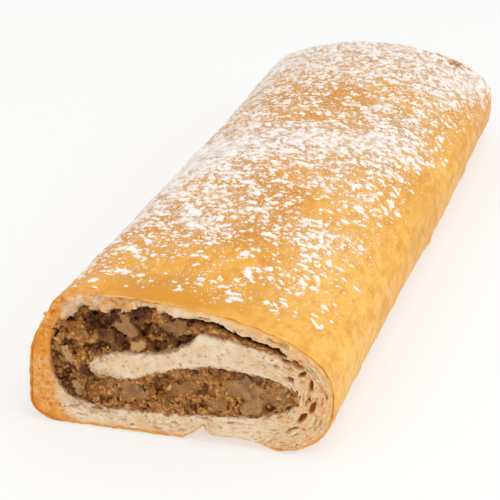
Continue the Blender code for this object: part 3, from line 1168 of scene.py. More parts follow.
@dataclass(frozen=True)
class CrumbFinish(Finish):
    """Cut dough: cream crumb, toasted towards the crust and stained beside the filling, with painted
    shade in its hollows and down the walls of the slit.
    """

    cream: tuple = linear(238, 219, 189)
    beige: tuple = linear(226, 192, 150)
    pore: tuple = linear(208, 168, 120)
    toast: tuple = linear(233, 166, 74)
    orange: tuple = linear(223, 141, 40)
    stain: tuple = linear(138, 84, 38)
    # Darker orange-brown of the hollows: baked browning and painted shade together
    deep: tuple = linear(184, 104, 38)
    title: str = "cut_crumb"
    base: tuple = cream
    coats: tuple[Coat, ...] = (
        Coat(Mottle(scale=130.0, detail=3.0, low=0.36, high=0.66, seed=5.0), beige, 0.7),
        Coat(Mottle(scale=1500.0, detail=3.0, low=0.54, high=0.66, seed=14.0), pore, 0.40),
        Coat("small", pore, 0.25),
        Coat("toast", toast),
        Coat("hot", orange),
        Coat("cavity", deep),
        Coat("stain", stain),
    )
    small: Mottle = Mottle(scale=520.0, detail=4.0, low=0.46, high=0.68, seed=6.0)
    hot: float = 0.45
    surface: Surface = Surface(
        roughness=0.72, specular=0.25, glow=0.25, glow_radius=(1.0, 0.6, 0.35), glow_depth=0.0012,
        grain=Grain(coarse=900.0, fine=2400.0, share=0.6, seed=3.0, height=0.0005, strength=0.8),
    )

    def masks(self, sheet: NodeSheet, effects: Effects) -> dict[str, Socket]:
        """Works out the small patches and the hottest places.

        Args:
            sheet: The material's sheet.
            effects: The shared node groups.

        Returns:
            The masks, by name.
        """
        small = self.small.on(sheet, effects)
        hot = sheet.times(sheet.times(sheet.mask("toast"), small), self.hot)
        return {"small": small, "hot": sheet.maths("ADD", hot, sheet.mask("scorch"), clamp=True)}


@dataclass(frozen=True)
class PasteFinish(Finish):
    """Moist crumbly walnut paste: dark brown with paler crumbs, and painted near-black shade in its
    deeper hollows.
    """

    dark: tuple = linear(76, 34, 6)
    brown: tuple = linear(148, 90, 34)
    tan: tuple = linear(216, 162, 90)
    gold: tuple = linear(214, 142, 56)
    # Near-black painted shade for the paste's deeper hollows and cracks
    pit: tuple = linear(36, 12, 2)
    title: str = "walnut_paste"
    base: tuple = dark
    coats: tuple[Coat, ...] = (
        Coat("brown", brown),
        Coat("light", tan),
        Coat(Mottle(scale=360.0, detail=3.0, low=0.54, high=0.68, seed=9.0), gold, 0.38),
        Coat(Mottle(scale=820.0, detail=3.0, low=0.57, high=0.66, seed=16.0), dark, 0.55),
        Coat("crumbs", tan, 0.45),
        Coat("deep", pit, 0.9),
    )
    broad: Mottle = Mottle(scale=190.0, detail=4.0, low=0.36, high=0.64, seed=7.0)
    small: Mottle = Mottle(scale=640.0, detail=4.0, low=0.46, high=0.62, seed=8.0)
    fine: Mottle = Mottle(scale=1700.0, detail=3.0, low=0.50, high=0.62, seed=15.0)
    broad_share: float = 0.30
    # The tones between which brown, tan patches and tan crumbs come in
    brown_tones: tuple[float, float] = (0.05, 0.80)
    light_tones: tuple[float, float] = (0.20, 1.0)
    crumb_tones: tuple[float, float] = (0.1, 0.9)
    surface: Surface = Surface(
        roughness=0.60, specular=0.25, glow=0.06, glow_radius=(1.0, 0.5, 0.25), glow_depth=0.0008,
        grain=Grain(coarse=800.0, fine=2200.0, share=0.6, seed=5.0, height=0.0006, strength=0.9),
    )

    def masks(self, sheet: NodeSheet, effects: Effects) -> dict[str, Socket]:
        """Works out what depends on the tone of each crumb.

        Args:
            sheet: The material's sheet.
            effects: The shared node groups.

        Returns:
            The masks, by name.
        """
        broad = sheet.times(self.broad.on(sheet, effects), self.broad_share)
        tone = sheet.maths("ADD", sheet.mask("tone"), broad)
        light, crumbs = (sheet.steps(tone, *tones) for tones in (self.light_tones, self.crumb_tones))
        return {
            "brown": sheet.steps(tone, *self.brown_tones),
            "light": sheet.times(self.small.on(sheet, effects), light),
            "crumbs": sheet.times(self.fine.on(sheet, effects), crumbs),
        }


@dataclass(frozen=True)
class WalnutFinish(Finish):
    """Chopped walnut: smooth cut meat, grey to beige, with a darker skin."""

    meat: tuple = linear(154, 104, 54)
    grey: tuple = linear(118, 78, 48)
    beige: tuple = linear(206, 160, 104)
    skin: tuple = linear(104, 56, 20)
    title: str = "walnut"
    base: tuple = grey
    coats: tuple[Coat, ...] = (
        Coat(Mottle(scale=240.0, detail=3.0, low=0.35, high=0.65, seed=10.0), meat),
        Coat("pale", beige),
        Coat(Mottle(scale=330.0, detail=4.0, low=0.48, high=0.66, seed=17.0), beige, 0.35),
        Coat(Mottle(scale=600.0, detail=3.0, low=0.55, high=0.68, seed=11.0), skin, 0.45),
        Coat("skin", skin),
    )
    surface: Surface = Surface(
        roughness=0.5, specular=0.25, glow=0.12, glow_radius=(1.0, 0.6, 0.4), glow_depth=0.0012,
        grain=Grain(coarse=500.0, fine=1600.0, share=0.5, seed=6.0, height=0.0007, strength=0.8),
    )


@dataclass(frozen=True)
class SugarFinish(Finish):
    """Icing sugar: matt, soft white powder that lets the crust show through where it is thin."""

    white: tuple = linear(250, 246, 246)
    shade: tuple = linear(243, 232, 226)
    thin: tuple = linear(244, 208, 152)
    title: str = "icing_sugar"
    base: tuple = white
    coats: tuple[Coat, ...] = (
        Coat(Mottle(scale=500.0, detail=3.0, low=0.35, high=0.65, seed=12.0), shade),
        Coat("thin", thin, 0.75),
    )
    surface: Surface = Surface(
        roughness=0.9, specular=0.5, glow=0.3, glow_radius=(1.0, 0.85, 0.75), glow_depth=0.0010,
        grain=Grain(coarse=1300.0, fine=3500.0, share=0.6, seed=7.0, height=0.0003, strength=0.7),
    )


# The spiral of filling across the cut face, from its thin outer end to its inner end:
# (x, z, half of its thickness)
FILLING_SPIRAL = (
    (0.0370, 0.0383, 0.0006),
    (0.0306, 0.0404, 0.0009),
    (0.0248, 0.0418, 0.0011),
    (0.0196, 0.0431, 0.0015),
    (0.0149, 0.0441, 0.0020),
    (0.0100, 0.0450, 0.0020),
    (0.0066, 0.0452, 0.0026),
    (0.0028, 0.0431, 0.0048),
    (-0.0028, 0.0412, 0.0068),
    (-0.0095, 0.0404, 0.0079),
    (-0.0195, 0.0391, 0.0073),
    (-0.0300, 0.0374, 0.0086),
    (-0.0366, 0.0333, 0.0084),
    (-0.0393, 0.0254, 0.0067),
    (-0.0368, 0.0181, 0.0068),
    (-0.0298, 0.0152, 0.0060),
    (-0.0214, 0.0150, 0.0060),
    (-0.0134, 0.0156, 0.0065),
    (-0.0035, 0.0177, 0.0081),
    (0.0073, 0.0199, 0.0091),
    (0.0172, 0.0208, 0.0092),
    (0.0271, 0.0209, 0.0081),
    (0.0350, 0.0212, 0.0061),
    (0.0399, 0.0215, 0.0033),
)

# The dark slit where the top crust has parted from the spiral's thin outer end
TOP_SLIT = (
    (0.0393, 0.0376, 0.0004),
    (0.0370, 0.0391, 0.0006),
    (0.0335, 0.0406, 0.0007),
    (0.0295, 0.0414, 0.0007),
    (0.0260, 0.0425, 0.0008),
    (0.0225, 0.0434, 0.0008),
    (0.0190, 0.0448, 0.0008),
    (0.0149, 0.0465, 0.0007),
    (0.0102, 0.0472, 0.0006),
    (0.0055, 0.0473, 0.0005),
)

# Baked air pockets between the dough layers of the right wall:
# (x, z, half length, half thickness, tilt from level in degrees)
AIR_POCKETS = (
    (0.0431, 0.0353, 0.0027, 0.0014, -25),
    (0.0389, 0.0361, 0.0016, 0.0009, -25),
    (0.0447, 0.0316, 0.0016, 0.0009, 30),
    (0.0407, 0.0292, 0.0017, 0.0009, -35),
    (0.0480, 0.0277, 0.0025, 0.0008, 85),
    (0.0473, 0.0221, 0.0009, 0.0007, 0),
    (0.0484, 0.0190, 0.0027, 0.0010, 75),
    (0.0450, 0.0147, 0.0028, 0.0010, 55),
    (0.0418, 0.0100, 0.0023, 0.0005, 22),
)


# Pieces


@dataclass
class Crumb:
    """The dough behind the crust, with what the knife laid open."""

    form: RollForm
    finish: CrumbFinish = CrumbFinish()
    cell: float = 0.00045
    depth: float = 0.018
    skin: float = 0.0006
    channel_gap: float = 0.0001
    wall_wave: float = 0.0010
    layer_spacing: float = 0.00125
    layer_depth: float = 0.0003
    parting_depth: float = 0.0010
    torn_depth: float = 0.0036
    pocket_depth: float = 0.0036
    slit_depth: float = 0.011
    small_pockets: int = 90
    pores: int = 420
    flakes: int = 560
    seed: int = 31

    def __post_init__(self) -> None:
        """Lays out the block and its masks over the cut face."""
        self.noise = LatticeNoise(self.seed)
        self.draw = np.random.default_rng(self.seed)
        self.block = CutBlock(self.form, self.cell, self.depth)
        flat = self.block.flat
        self.x, self.z = flat[..., 0], flat[..., 1]
        outline = self.form.table[0].copy()
        outline[:, 1] = np.maximum(outline[:, 1], self.form.seam_rise(outline[:, 0]))
        self.inward = outline_depth(flat, outline)
        self.channel = ribbon_distance(flat, smooth_rows(FILLING_SPIRAL, 3))
        self.slit = ribbon_distance(flat, smooth_rows(TOP_SLIT, 3))

    def layered_share(self, x: Array, z: Array, inward: Array) -> Array:
        """How clearly the dough's layers show: on the right, at the foot and under the top crust."""
        right = ramp(0.022, 0.036, x)
        foot = ramp(0.013, 0.009, z) * ramp(-0.048, -0.036, x)
        top = ramp(0.006, 0.003, inward) * ramp(0.0, 0.012, x)
        return np.maximum(np.maximum(right, 0.8 * foot), top)

    def torn_share(self, x: Array, z: Array, inward: Array) -> Array:
        """How torn the cut is: along the top left, above the filling."""
        sides = ramp(-0.053, -0.046, x) * ramp(0.0, -0.008, x)
        return sides * ramp(0.030, 0.038, z) * ramp(0.0100, 0.0075, inward)

    def layer_lines(self, x: Array, z: Array, inward: Array) -> Array:
        """Thin lines between the dough's layers, 1 in the middle of a line."""
        place = np.stack([x, 0 * x, z], axis=-1)
        phase = inward / self.layer_spacing + 1.1 * self.noise.at(place, 0.010)
        phase = phase + 0.45 * self.noise.at(place + 0.2, 0.0032)
        return ramp(0.60, 0.98, np.abs(2 * (phase % 1.0) - 1))

    def face(self) -> Array:
        """How far behind the knife the dough's cut face lies, for each x and z."""
        x, z, over = self.x, self.z, self.block.flat_noise
        layered = self.layered_share(x, z, self.inward)
        lines = self.layer_lines(x, z, self.inward) * layered
        parted = ramp(0.05, 0.45, over(self.noise, 0.0065, 0.5))
        made = self.layer_depth * lines + self.parting_depth * lines * parted
        made += 0.00024 * over(self.noise, 0.0011, 0.1)
        made += 0.00028 * layered * over(self.noise, 0.0017, 0.6)
        made += 0.00030 * over(self.noise, 0.0030, 0.9)
        torn = self.torn_share(x, z, self.inward)
        rough = 0.75 + 0.9 * over(self.noise, 0.0045, 1.3)
        made += self.torn_depth * torn * rough.clip(0.1)
        left = ramp(-0.043, -0.050, x) * ramp(0.004, 0.0, self.inward)
        made += 0.0016 * left**2
        under = ramp(0.0035, 0.0, z) * (1 + over(self.noise, 0.004, 2.1))
        return made + 0.0006 * under

    def tangent(self, x: float, z: float) -> float:
        """The angle of the nearest stretch of the outline, in radians from level."""
        outline = self.form.table[0]
        nearest = int(np.argmin(np.hypot(outline[:, 0] - x, outline[:, 1] - z)))
        along = outline[(nearest + 4) % len(outline)] - outline[nearest - 4]
        return math.atan2(along[1], along[0])

    def spots(self, count: int, allowed: Array) -> Array:
        """Random places on the cut face.

        Args:
            count: How many.
            allowed: Where they may lie, for each x and z of the grid, as a weight.

        Returns:
            One row of x and z for each place.
        """
        weight = allowed.ravel().clip(0.0)
        picked = self.draw.choice(len(weight), count, p=weight / weight.sum())
        jitter = self.draw.uniform(-0.5, 0.5, (count, 2)) * self.cell
        return self.block.flat.reshape(-1, 2)[picked] + jitter

    def carve_pockets(self) -> None:
        """Cuts the baked air pockets, and many small ones between the layers."""
        for x, z, length, thick, tilt in AIR_POCKETS:
            radii = (length, self.pocket_depth, thick)
            turn = flat_turn(math.radians(tilt))
            self.block.carve(Lump((x, 0.0, z), radii, turn, 2.2))
        layered = self.layered_share(self.x, self.z, self.inward)
        layered = layered * ramp(0.0012, 0.0024, self.inward)
        layered = layered * ramp(0.0008, 0.0016, self.channel)
        for x, z in self.spots(self.small_pockets, layered):
            length = self.draw.uniform(0.0008, 0.0026)
            turn = flat_turn(self.tangent(x, z) + self.draw.normal() * 0.12)
            radii = (length, self.draw.uniform(0.0008, 0.002), length * 0.20)
            self.block.carve(Lump((x, 0.0, z), radii, turn, 2.0))

    def carve_pores(self) -> None:
        """Cuts the round pores of the pale crumb."""
        open_crumb = ramp(0.0008, 0.0016, self.channel) * ramp(0.002, 0.004, self.inward)
        for x, z in self.spots(self.pores, open_crumb):
            radius = 0.00024 + 0.00030 * self.draw.random() ** 3
            stretch = self.draw.uniform(1.0, 1.9)
            depth = self.draw.uniform(0.0, 0.0004)
            turn = flat_turn(self.draw.normal() * 0.5)
            self.block.carve(Lump((x, depth, z), (radius * stretch, radius * 1.4, radius), turn))

    def add_flakes(self) -> None:
        """Adds the loose flakes along the torn top left and the frayed edges of the layers."""
        torn = self.torn_share(self.x, self.z, self.inward) * ramp(0.0, 0.0006, self.channel)
        layered = self.layered_share(self.x, self.z, self.inward)
        frayed = 0.16 * layered * ramp(0.0002, 0.0009, self.channel)
        where = (torn + frayed) * ramp(0.0004, 0.0010, self.inward)
        face = self.face()
        for x, z in self.spots(self.flakes, where):
            row, column = (int(np.searchsorted(self.block.axes[k], w)) for k, w in ((0, x), (2, z)))
            depth = face[row - 1, column - 1] + self.draw.uniform(-0.0003, 0.0006)
            length = self.draw.uniform(0.0005, 0.0017)
            turn = flat_turn(self.tangent(x, z) + self.draw.normal() * 0.35)
            turn = turn @ any_turn(self.draw) if self.draw.random() < 0.25 else turn
            radii = (length, self.draw.uniform(0.0005, 0.0011), self.draw.uniform(0.0003, 0.00055))
            self.block.add(Lump((x, depth, z), radii, turn, 2.2))

    def masks(self, local: Array) -> dict[str, Array]:
        """What the material reads at the mesh's points.

        Args:
            local: Points in the block's axes.

        Returns:
            Numbers for each point, by name.
        """
        x, behind, z = local.T
        flat = local[:, [0, 2]]
        outline = self.form.table[0]
        inward = outline_depth(flat, outline)
        channel = ribbon_distance(flat, smooth_rows(FILLING_SPIRAL, 3))
        slit = ribbon_distance(flat, smooth_rows(TOP_SLIT, 3))
        patch = self.noise.at(local + 3.0, 0.0038)
        small = self.noise.at(local + 4.0, 0.0012)
        left = ramp(-0.038, -0.047, x)
        reach = 0.0016 + 0.0125 * left + 0.0006 * ramp(0.014, 0.004, z) + 0.0008 * patch
        toast = ramp(1.25, 0.35, inward / np.maximum(reach, 0.0004))
        torn = self.torn_share(x, z, inward)
        toast = np.maximum(toast, torn * ramp(-0.3, 0.4, patch + 0.6 * small) * 0.85)
        outside = torn * ramp(0.0024, 0.0012, inward)
        toast = np.maximum(toast, outside)
        lines = self.layer_lines(x, z, inward) * self.layered_share(x, z, inward)
        right = ramp(0.030, 0.046, x)
        toast = np.maximum(toast * (0.85 + 0.3 * small), (0.40 + 0.45 * right) * lines)
        toast = np.maximum(toast, right * (0.22 + 0.5 * patch))
        over_slit = ramp(0.0060, 0.0030, inward) * ramp(0.0, 0.012, x) * ramp(0.028, 0.034, z)
        toast = np.maximum(toast, over_slit * (0.30 + 0.5 * patch))
        corner = ramp(-0.034, -0.046, x) * ramp(0.013, 0.006, z) * ramp(0.0052, 0.0026, inward)
        under = ramp(0.0022, 0.0008, inward) * ramp(0.006, 0.003, z)
        scorch = np.maximum(corner * ramp(-0.5, 0.3, patch), under * ramp(-0.4, 0.3, small))
        scorch = np.maximum(scorch, 0.8 * left * toast * ramp(-0.5, 0.3, patch + small))
        scorch = np.maximum(scorch, 0.7 * outside * ramp(-0.1, 0.5, patch + small))
        face = self.face_at(x, z)
        sunk = behind - face
        # Painted shade with some real browning: points sunk deeper behind the cut face, in the pockets
        # and between the layers, get the darker orange-brown.
        cavity = ramp(0.0005, 0.0024, sunk) * ramp(0.0009, 0.0022, channel)
        laid_open = np.maximum(self.layered_share(x, z, inward), torn)
        cavity = cavity * (0.05 + 0.85 * laid_open) * ramp(0.0012, 0.0026, inward)
        stain = ramp(0.0011, 0.0, channel + 0.0008 * small + 0.0006 * patch) * 0.65
        smear = ramp(-0.014, -0.030, x) * ramp(0.0045, 0.0, channel) * ramp(-0.044, -0.036, x)
        stain = np.maximum(stain, smear * ramp(0.6, -0.4, patch + small) * 0.75)
        # Painted shade with filling residue: the slit's walls are painted dark brown the deeper they lie
        # behind the cut face.
        shade_in_slit = ramp(0.0010, 0.0002, slit + 0.0004 * small) * ramp(0.0006, 0.0018, sunk)
        stain = np.maximum(stain, shade_in_slit)
        return {
            "toast": toast.clip(0.0, 1.0),
            "scorch": scorch.clip(0.0, 1.0),
            "cavity": cavity.clip(0.0, 1.0),
            "stain": stain.clip(0.0, 1.0),
        }

    def face_at(self, x: Array, z: Array) -> Array:
        """The cut face's depth at places on it, read from the grid."""
        face = self.face()
        row = np.searchsorted(self.block.axes[0], x).clip(0, face.shape[0] - 1)
        column = np.searchsorted(self.block.axes[2], z).clip(0, face.shape[1] - 1)
        return face[row, column]

    def build(self, effects: Effects) -> None:
        """Carves the dough, meshes it and dresses it.

        Args:
            effects: The shared node groups.
        """
        block, behind = self.block, self.block.behind
        face = self.face()
        torn = self.torn_share(self.x, self.z, self.inward)
        outer = (self.skin - self.inward)[:, None, :]
        grid = block.points()
        ragged = 0.0008 * self.noise.layered(grid + 2.0, 0.0024, 2)
        outer = outer + torn[:, None, :] * ragged * ramp(0.0070, 0.0045, behind)
        block.values = outer.astype(np.float32)
        wall = self.noise.layered(grid + 7.0, 0.0036, 3, 0.6)
        block.keep_within(self.channel_gap + self.wall_wave * wall - self.channel[:, None, :])
        block.keep_within(face[:, None, :] - behind)
        self.add_flakes()
        slit = self.slit[:, None, :] + 0.0006 * self.noise.at(grid + 5.0, 0.0022) - 0.0001
        block.keep_within(-np.maximum(slit, behind - self.slit_depth))
        self.carve_pockets()
        self.carve_pores()
        block.values += 0.00010 * self.noise.at(grid + 6.0, 0.0009)
        block.keep_within(behind - self.depth)
        local, points, faces = block.meshed()
        points[:, 2] = points[:, 2].clip(0.0)
        piece = make_mesh("crumb", points, faces, self.masks(local))
        settle(piece, Node.PASTRY, self.finish.material(effects))


@dataclass
class NutFilling:
    """The walnut paste and its chopped walnut, crumbled where the knife went through."""

    form: RollForm
    paste_finish: PasteFinish = PasteFinish()
    walnut_finish: WalnutFinish = WalnutFinish()
    cell: float = 0.00045
    depth: float = 0.018
    press: float = 0.0014
    slit_depth: float = 0.0050
    crumbs: int = 1250
    crumb_size: float = 0.00052
    crumb_spread: float = 0.72
    largest_crumb: float = 0.0030
    thickness: float = 0.0030
    chipping: float = 0.0014
    seed: int = 41
    # Walnut pieces: (x, z, half length, half width, tilt in degrees, sunk, pale share)
    walnuts: tuple[tuple[float, ...], ...] = (
        (-0.0394, 0.0268, 0.0058, 0.0019, 115, 0.0006, 0.7),
        (-0.0422, 0.0277, 0.0050, 0.0013, 112, 0.0012, 0.2),
        (-0.0185, 0.0415, 0.0050, 0.0032, -42, 0.0012, 0.25),
        (-0.0007, 0.0431, 0.0046, 0.0031, 10, 0.0014, 0.0),
        (-0.0135, 0.0342, 0.0035, 0.0021, 24, 0.0010, 0.75),
        (-0.0095, 0.0326, 0.0022, 0.0013, -20, 0.0009, 0.7),
        (-0.0367, 0.0149, 0.0026, 0.0020, 60, 0.0010, 0.4),
        (-0.0155, 0.0167, 0.0054, 0.0036, 4, -0.0002, 0.15),
        (0.0024, 0.0205, 0.0060, 0.0026, 4, -0.0002, 0.0),
        (0.0152, 0.0165, 0.0042, 0.0026, -18, 0.0002, 0.2),
        (0.0243, 0.0232, 0.0066, 0.0046, -28, -0.0002, 0.15),
        (0.0280, 0.0166, 0.0056, 0.0034, 34, -0.0001, 0.3),
        (0.0362, 0.0221, 0.0044, 0.0034, 18, 0.0001, 0.1),
        (0.0093, 0.0250, 0.0034, 0.0022, 12, 0.0006, 0.3),
        (-0.0244, 0.0160, 0.0030, 0.0020, -30, 0.0006, 0.3),
    )
    # Hollows: (x, z, half width, half height, depth)
    pits: tuple[tuple[float, ...], ...] = (
        (-0.0063, 0.0162, 0.0016, 0.0044, 0.0046),
        (-0.0343, 0.0408, 0.0064, 0.0030, 0.0026),
        (-0.0086, 0.0445, 0.0040, 0.0022, 0.0024),
        (-0.0407, 0.0187, 0.0016, 0.0034, 0.0028),
        (-0.0313, 0.0189, 0.0030, 0.0020, 0.0026),
        (0.0073, 0.0143, 0.0026, 0.0016, 0.0024),
        (-0.0115, 0.0401, 0.0016, 0.0030, 0.0024),
        (0.0390, 0.0178, 0.0020, 0.0012, 0.0020),
    )

    def __post_init__(self) -> None:
        """Makes the filling's noise and its outline on the cut face."""
        self.noise = LatticeNoise(self.seed)
        self.draw = np.random.default_rng(self.seed)
        self.rows = smooth_rows(FILLING_SPIRAL, 3)

    def upper(self, x: Array, z: Array) -> Array:
        """Where the dark, crumbled upper part of the filling is."""
        return ramp(0.027, 0.034, z) * ramp(0.010, 0.004, x)

    def left(self, x: Array) -> Array:
        """Where the filling turns down along the left wall."""
        return ramp(-0.028, -0.036, x)

    def recess(self, x: Array, z: Array) -> Array:
        """How far behind the knife the filling lies: more at the top left, and in the hollows."""
        loose = np.maximum(self.upper(x, z), 0.6 * self.left(x))
        made = 0.0003 + 0.0019 * loose + 0.0004 * ramp(0.008, 0.012, x) * ramp(0.034, 0.038, z)
        for px, pz, half_width, half_height, deep in self.pits:
            away = ((x - px) / half_width) ** 2 + ((z - pz) / half_height) ** 2
            made = made + deep * np.exp(-away)
        return made

    def paste(self, effects: Effects) -> None:
        """Heaps the paste from crumbs behind the knife, and meshes it.

        Args:
            effects: The shared node groups.
        """
        block = CutBlock(self.form, self.cell, self.depth)
        x, z = block.flat[..., 0], block.flat[..., 1]
        channel = ribbon_distance(block.flat, self.rows)
        recess = self.recess(x, z)
        loose = np.maximum(self.upper(x, z), 0.6 * self.left(x))
        flat = np.stack([x, 0 * x, z], axis=-1)
        crags = self.noise.layered(flat, 0.0048, 4, 0.62) + 0.12
        rough = (0.0010 + 0.0018 * loose) * crags.clip(0.0)
        recess = recess + rough
        block.values = (recess[:, None, :] - block.behind).astype(np.float32)
        light = 0.42 + 0.30 * self.noise.at(flat + 0.5, 0.0060) - 0.30 * loose
        light += 0.35 * ramp(0.008, 0.012, x) * ramp(0.034, 0.038, z)
        tones = np.repeat(light.clip(0.02)[:, None, :], block.values.shape[1], axis=1).astype(np.float32)
        weight = ramp(0.0006, -0.0004, channel).ravel()
        picked = self.draw.choice(len(weight), self.crumbs, p=weight / weight.sum())
        for spot in picked:
            cx, cz = block.flat.reshape(-1, 2)[spot]
            size = self.crumb_size * math.exp(self.crumb_spread * self.draw.normal())
            size = min(self.largest_crumb, size)
            stretch = self.draw.uniform(0.5, 1.7, 3)
            behind = float(recess.ravel()[spot]) + size * self.draw.uniform(-0.2, 0.8)
            turn = any_turn(self.draw)
            lump = Lump((cx, behind, cz), tuple(size * stretch), turn, self.draw.uniform(2.2, 5.0))
            found = block.near(lump)
            if found:
                part, gap = found
                won = (gap < block.values[part] + 0.0002) & (gap < 0.0004)
                tones[part][won] = float(light.ravel()[spot]) + 0.85 * (self.draw.random() - 0.38)
                block.add(lump, 0.00015)
        knife = 0.0001 + 0.0008 * loose + 0.0002 * self.noise.at(flat + 0.9, 0.0050)
        block.keep_within(knife[:, None, :] - block.behind)
        grid = block.points()
        block.values += 0.00046 * self.noise.layered(grid + 1.0, 0.0020, 3, 0.7)
        cracks = np.abs(self.noise.at(grid + 2.0, 0.0042))
        open_depth = (0.0042 * (1 - cracks / 0.08)).clip(0.0)
        near_face = ramp(0.004, 0.001, block.behind - recess[:, None, :])
        block.values += (0.5 * open_depth * near_face).astype(np.float32)
        wall = channel[:, None, :] - self.press + 0.00015 * self.noise.at(grid + 3.0, 0.0016)
        block.keep_within(wall)
        slit = ribbon_distance(block.flat, smooth_rows(TOP_SLIT, 3))[:, None, :] - 0.0003
        slit = slit + 0.0005 * self.noise.at(grid + 5.0, 0.0020)
        block.keep_within(-np.maximum(slit, block.behind - self.slit_depth))
        block.keep_within(block.behind - self.depth)
        local, points, faces = block.meshed()
        # How far behind the filling's face each point lies: the paste finish paints shade there
        deep = local[:, 1] - self.recess(local[:, 0], local[:, 2])
        masks = {"tone": tones[block.cells(local)].clip(0.0), "deep": ramp(0.0005, 0.0026, deep)}
        piece = make_mesh("walnut_paste", points, faces, masks)
        settle(piece, Node.FILLING, self.paste_finish.material(effects))

    def pieces(self, effects: Effects) -> None:
        """Makes the chopped walnut, sliced flat where the knife met it.

        Args:
            effects: The shared node groups.
        """
        block = CutBlock(self.form, self.cell, self.depth, fine=0.006)
        pale = np.zeros(block.values.shape, np.float32)
        sliced = np.full(block.values.shape, 0.0, np.float32)
        for x, z, length, width, tilt, sunk, pale_share in self.walnuts:
            turn = flat_turn(math.radians(tilt))
            thick = self.thickness
            lump = Lump((x, sunk + 0.55 * thick, z), (length, thick, width), turn, 2.7)
            part, gap = block.near(lump)
            own = gap < block.values[part]
            pale[part][own] = pale_share
            sliced[part][own] = sunk
            block.values[part] = np.minimum(block.values[part], gap)
        grid = block.points()
        chipped = self.chipping * self.noise.layered(grid + 4.0, 0.0054, 4, 0.6)
        block.values = block.values + chipped.astype(np.float32)
        block.keep_within(sliced - block.behind)
        local, points, faces = block.meshed()
        cells = block.cells(local)
        edge = ramp(0.0001, 0.0008, local[:, 1] - sliced[cells])
        masks = {"pale": pale[cells], "skin": 0.8 * edge}
        piece = make_mesh("walnut_pieces", points, faces, masks)
        settle(piece, Node.FILLING, self.walnut_finish.material(effects))


@dataclass
class SugarSpread:
    """How thickly the sugar lies over the top of the roll."""

    form: RollForm
    seed: int = 51
    # The usual cover along the roll: (distance behind the cut, cover)
    along: tuple[tuple[float, float], ...] = (
        (0.008, 0.06),
        (0.016, 0.18),
        (0.035, 0.24),
        (0.055, 0.33),
        (0.080, 0.42),
        (0.200, 0.38),
        (0.255, 0.42),
        (0.275, 0.55),
        (0.320, 0.78),
        (0.345, 0.85),
    )
    # The lowest height it reaches down to, the furthest right it reaches and how softly it ends
    # there: (distance behind the cut, value)
    lowest: tuple[tuple[float, float], ...] = ((0.0, 0.028), (0.15, 0.022), (0.30, 0.010))
    widest: tuple[tuple[float, float], ...] = ((0.0, 0.054), (0.15, 0.059), (0.30, 0.065))
    softness: tuple[tuple[float, float], ...] = ((0.0, 0.026), (0.26, 0.024), (0.32, 0.010))
    # Dense and bare patches: (x, distance behind the cut, reach in x, reach along, change)
    patches: tuple[tuple[float, ...], ...] = (
        (-0.015, 0.069, 0.009, 0.008, 0.50),
        (0.024, 0.106, 0.012, 0.012, -0.34),
        (0.056, 0.290, 0.012, 0.045, 0.30),
        (-0.002, 0.203, 0.016, 0.007, -0.26),
        (0.004, 0.238, 0.013, 0.012, -0.22),
        (0.010, 0.046, 0.014, 0.016, -0.14),
        (0.0050, 0.3305, 0.0036, 0.0030, -0.70),
        (0.0300, 0.3275, 0.0052, 0.0040, -0.70),
        (0.0435, 0.3235, 0.0066, 0.0050, -0.70),
    )

    def __post_init__(self) -> None:
        """Makes the spread's noise."""
        self.noise = LatticeNoise(self.seed)

    def cover(self, points: Array) -> Array:
        """The share of the skin that sugar covers at points on it.

        Args:
            points: Places, with x, y and z last.

        Returns:
            Numbers from 0 to 1.
        """
        x, y, z = points[..., 0], points[..., 1], points[..., 2]
        from_cut = y - self.form.cut_y(x)
        made = np.interp(from_cut, *zip(*self.along))
        made += 0.36 * hill(from_cut, 0.172 + 0.5 * x, 0.030)
        made += 0.30 * hill(from_cut, 0.120, 0.050) * hill(x, -0.040, 0.016)
        for at_x, at_s, reach_x, reach_s, change in self.patches:
            made += change * hill(x, at_x, reach_x) * hill(from_cut, at_s, reach_s)
        made += 0.16 * self.noise.at(points, 0.024)
        lowest, widest, soft = (
            np.interp(from_cut, *zip(*line)) for line in (self.lowest, self.widest, self.softness)
        )
        made = made * ramp(0.0, 0.022, z - lowest) * ramp(0.0, 1.0, (widest - x) / soft)
        made = made * (1 - 0.9 * ramp(0.3380, 0.3420, from_cut))
        edge = np.interp(from_cut, (0.020, 0.085), (1.0, 0.30))
        made = made * (1 - edge * ramp(-0.040, -0.057, x))
        made = made * ramp(0.004, 0.014, from_cut)
        return made.clip(0.0, 0.95)


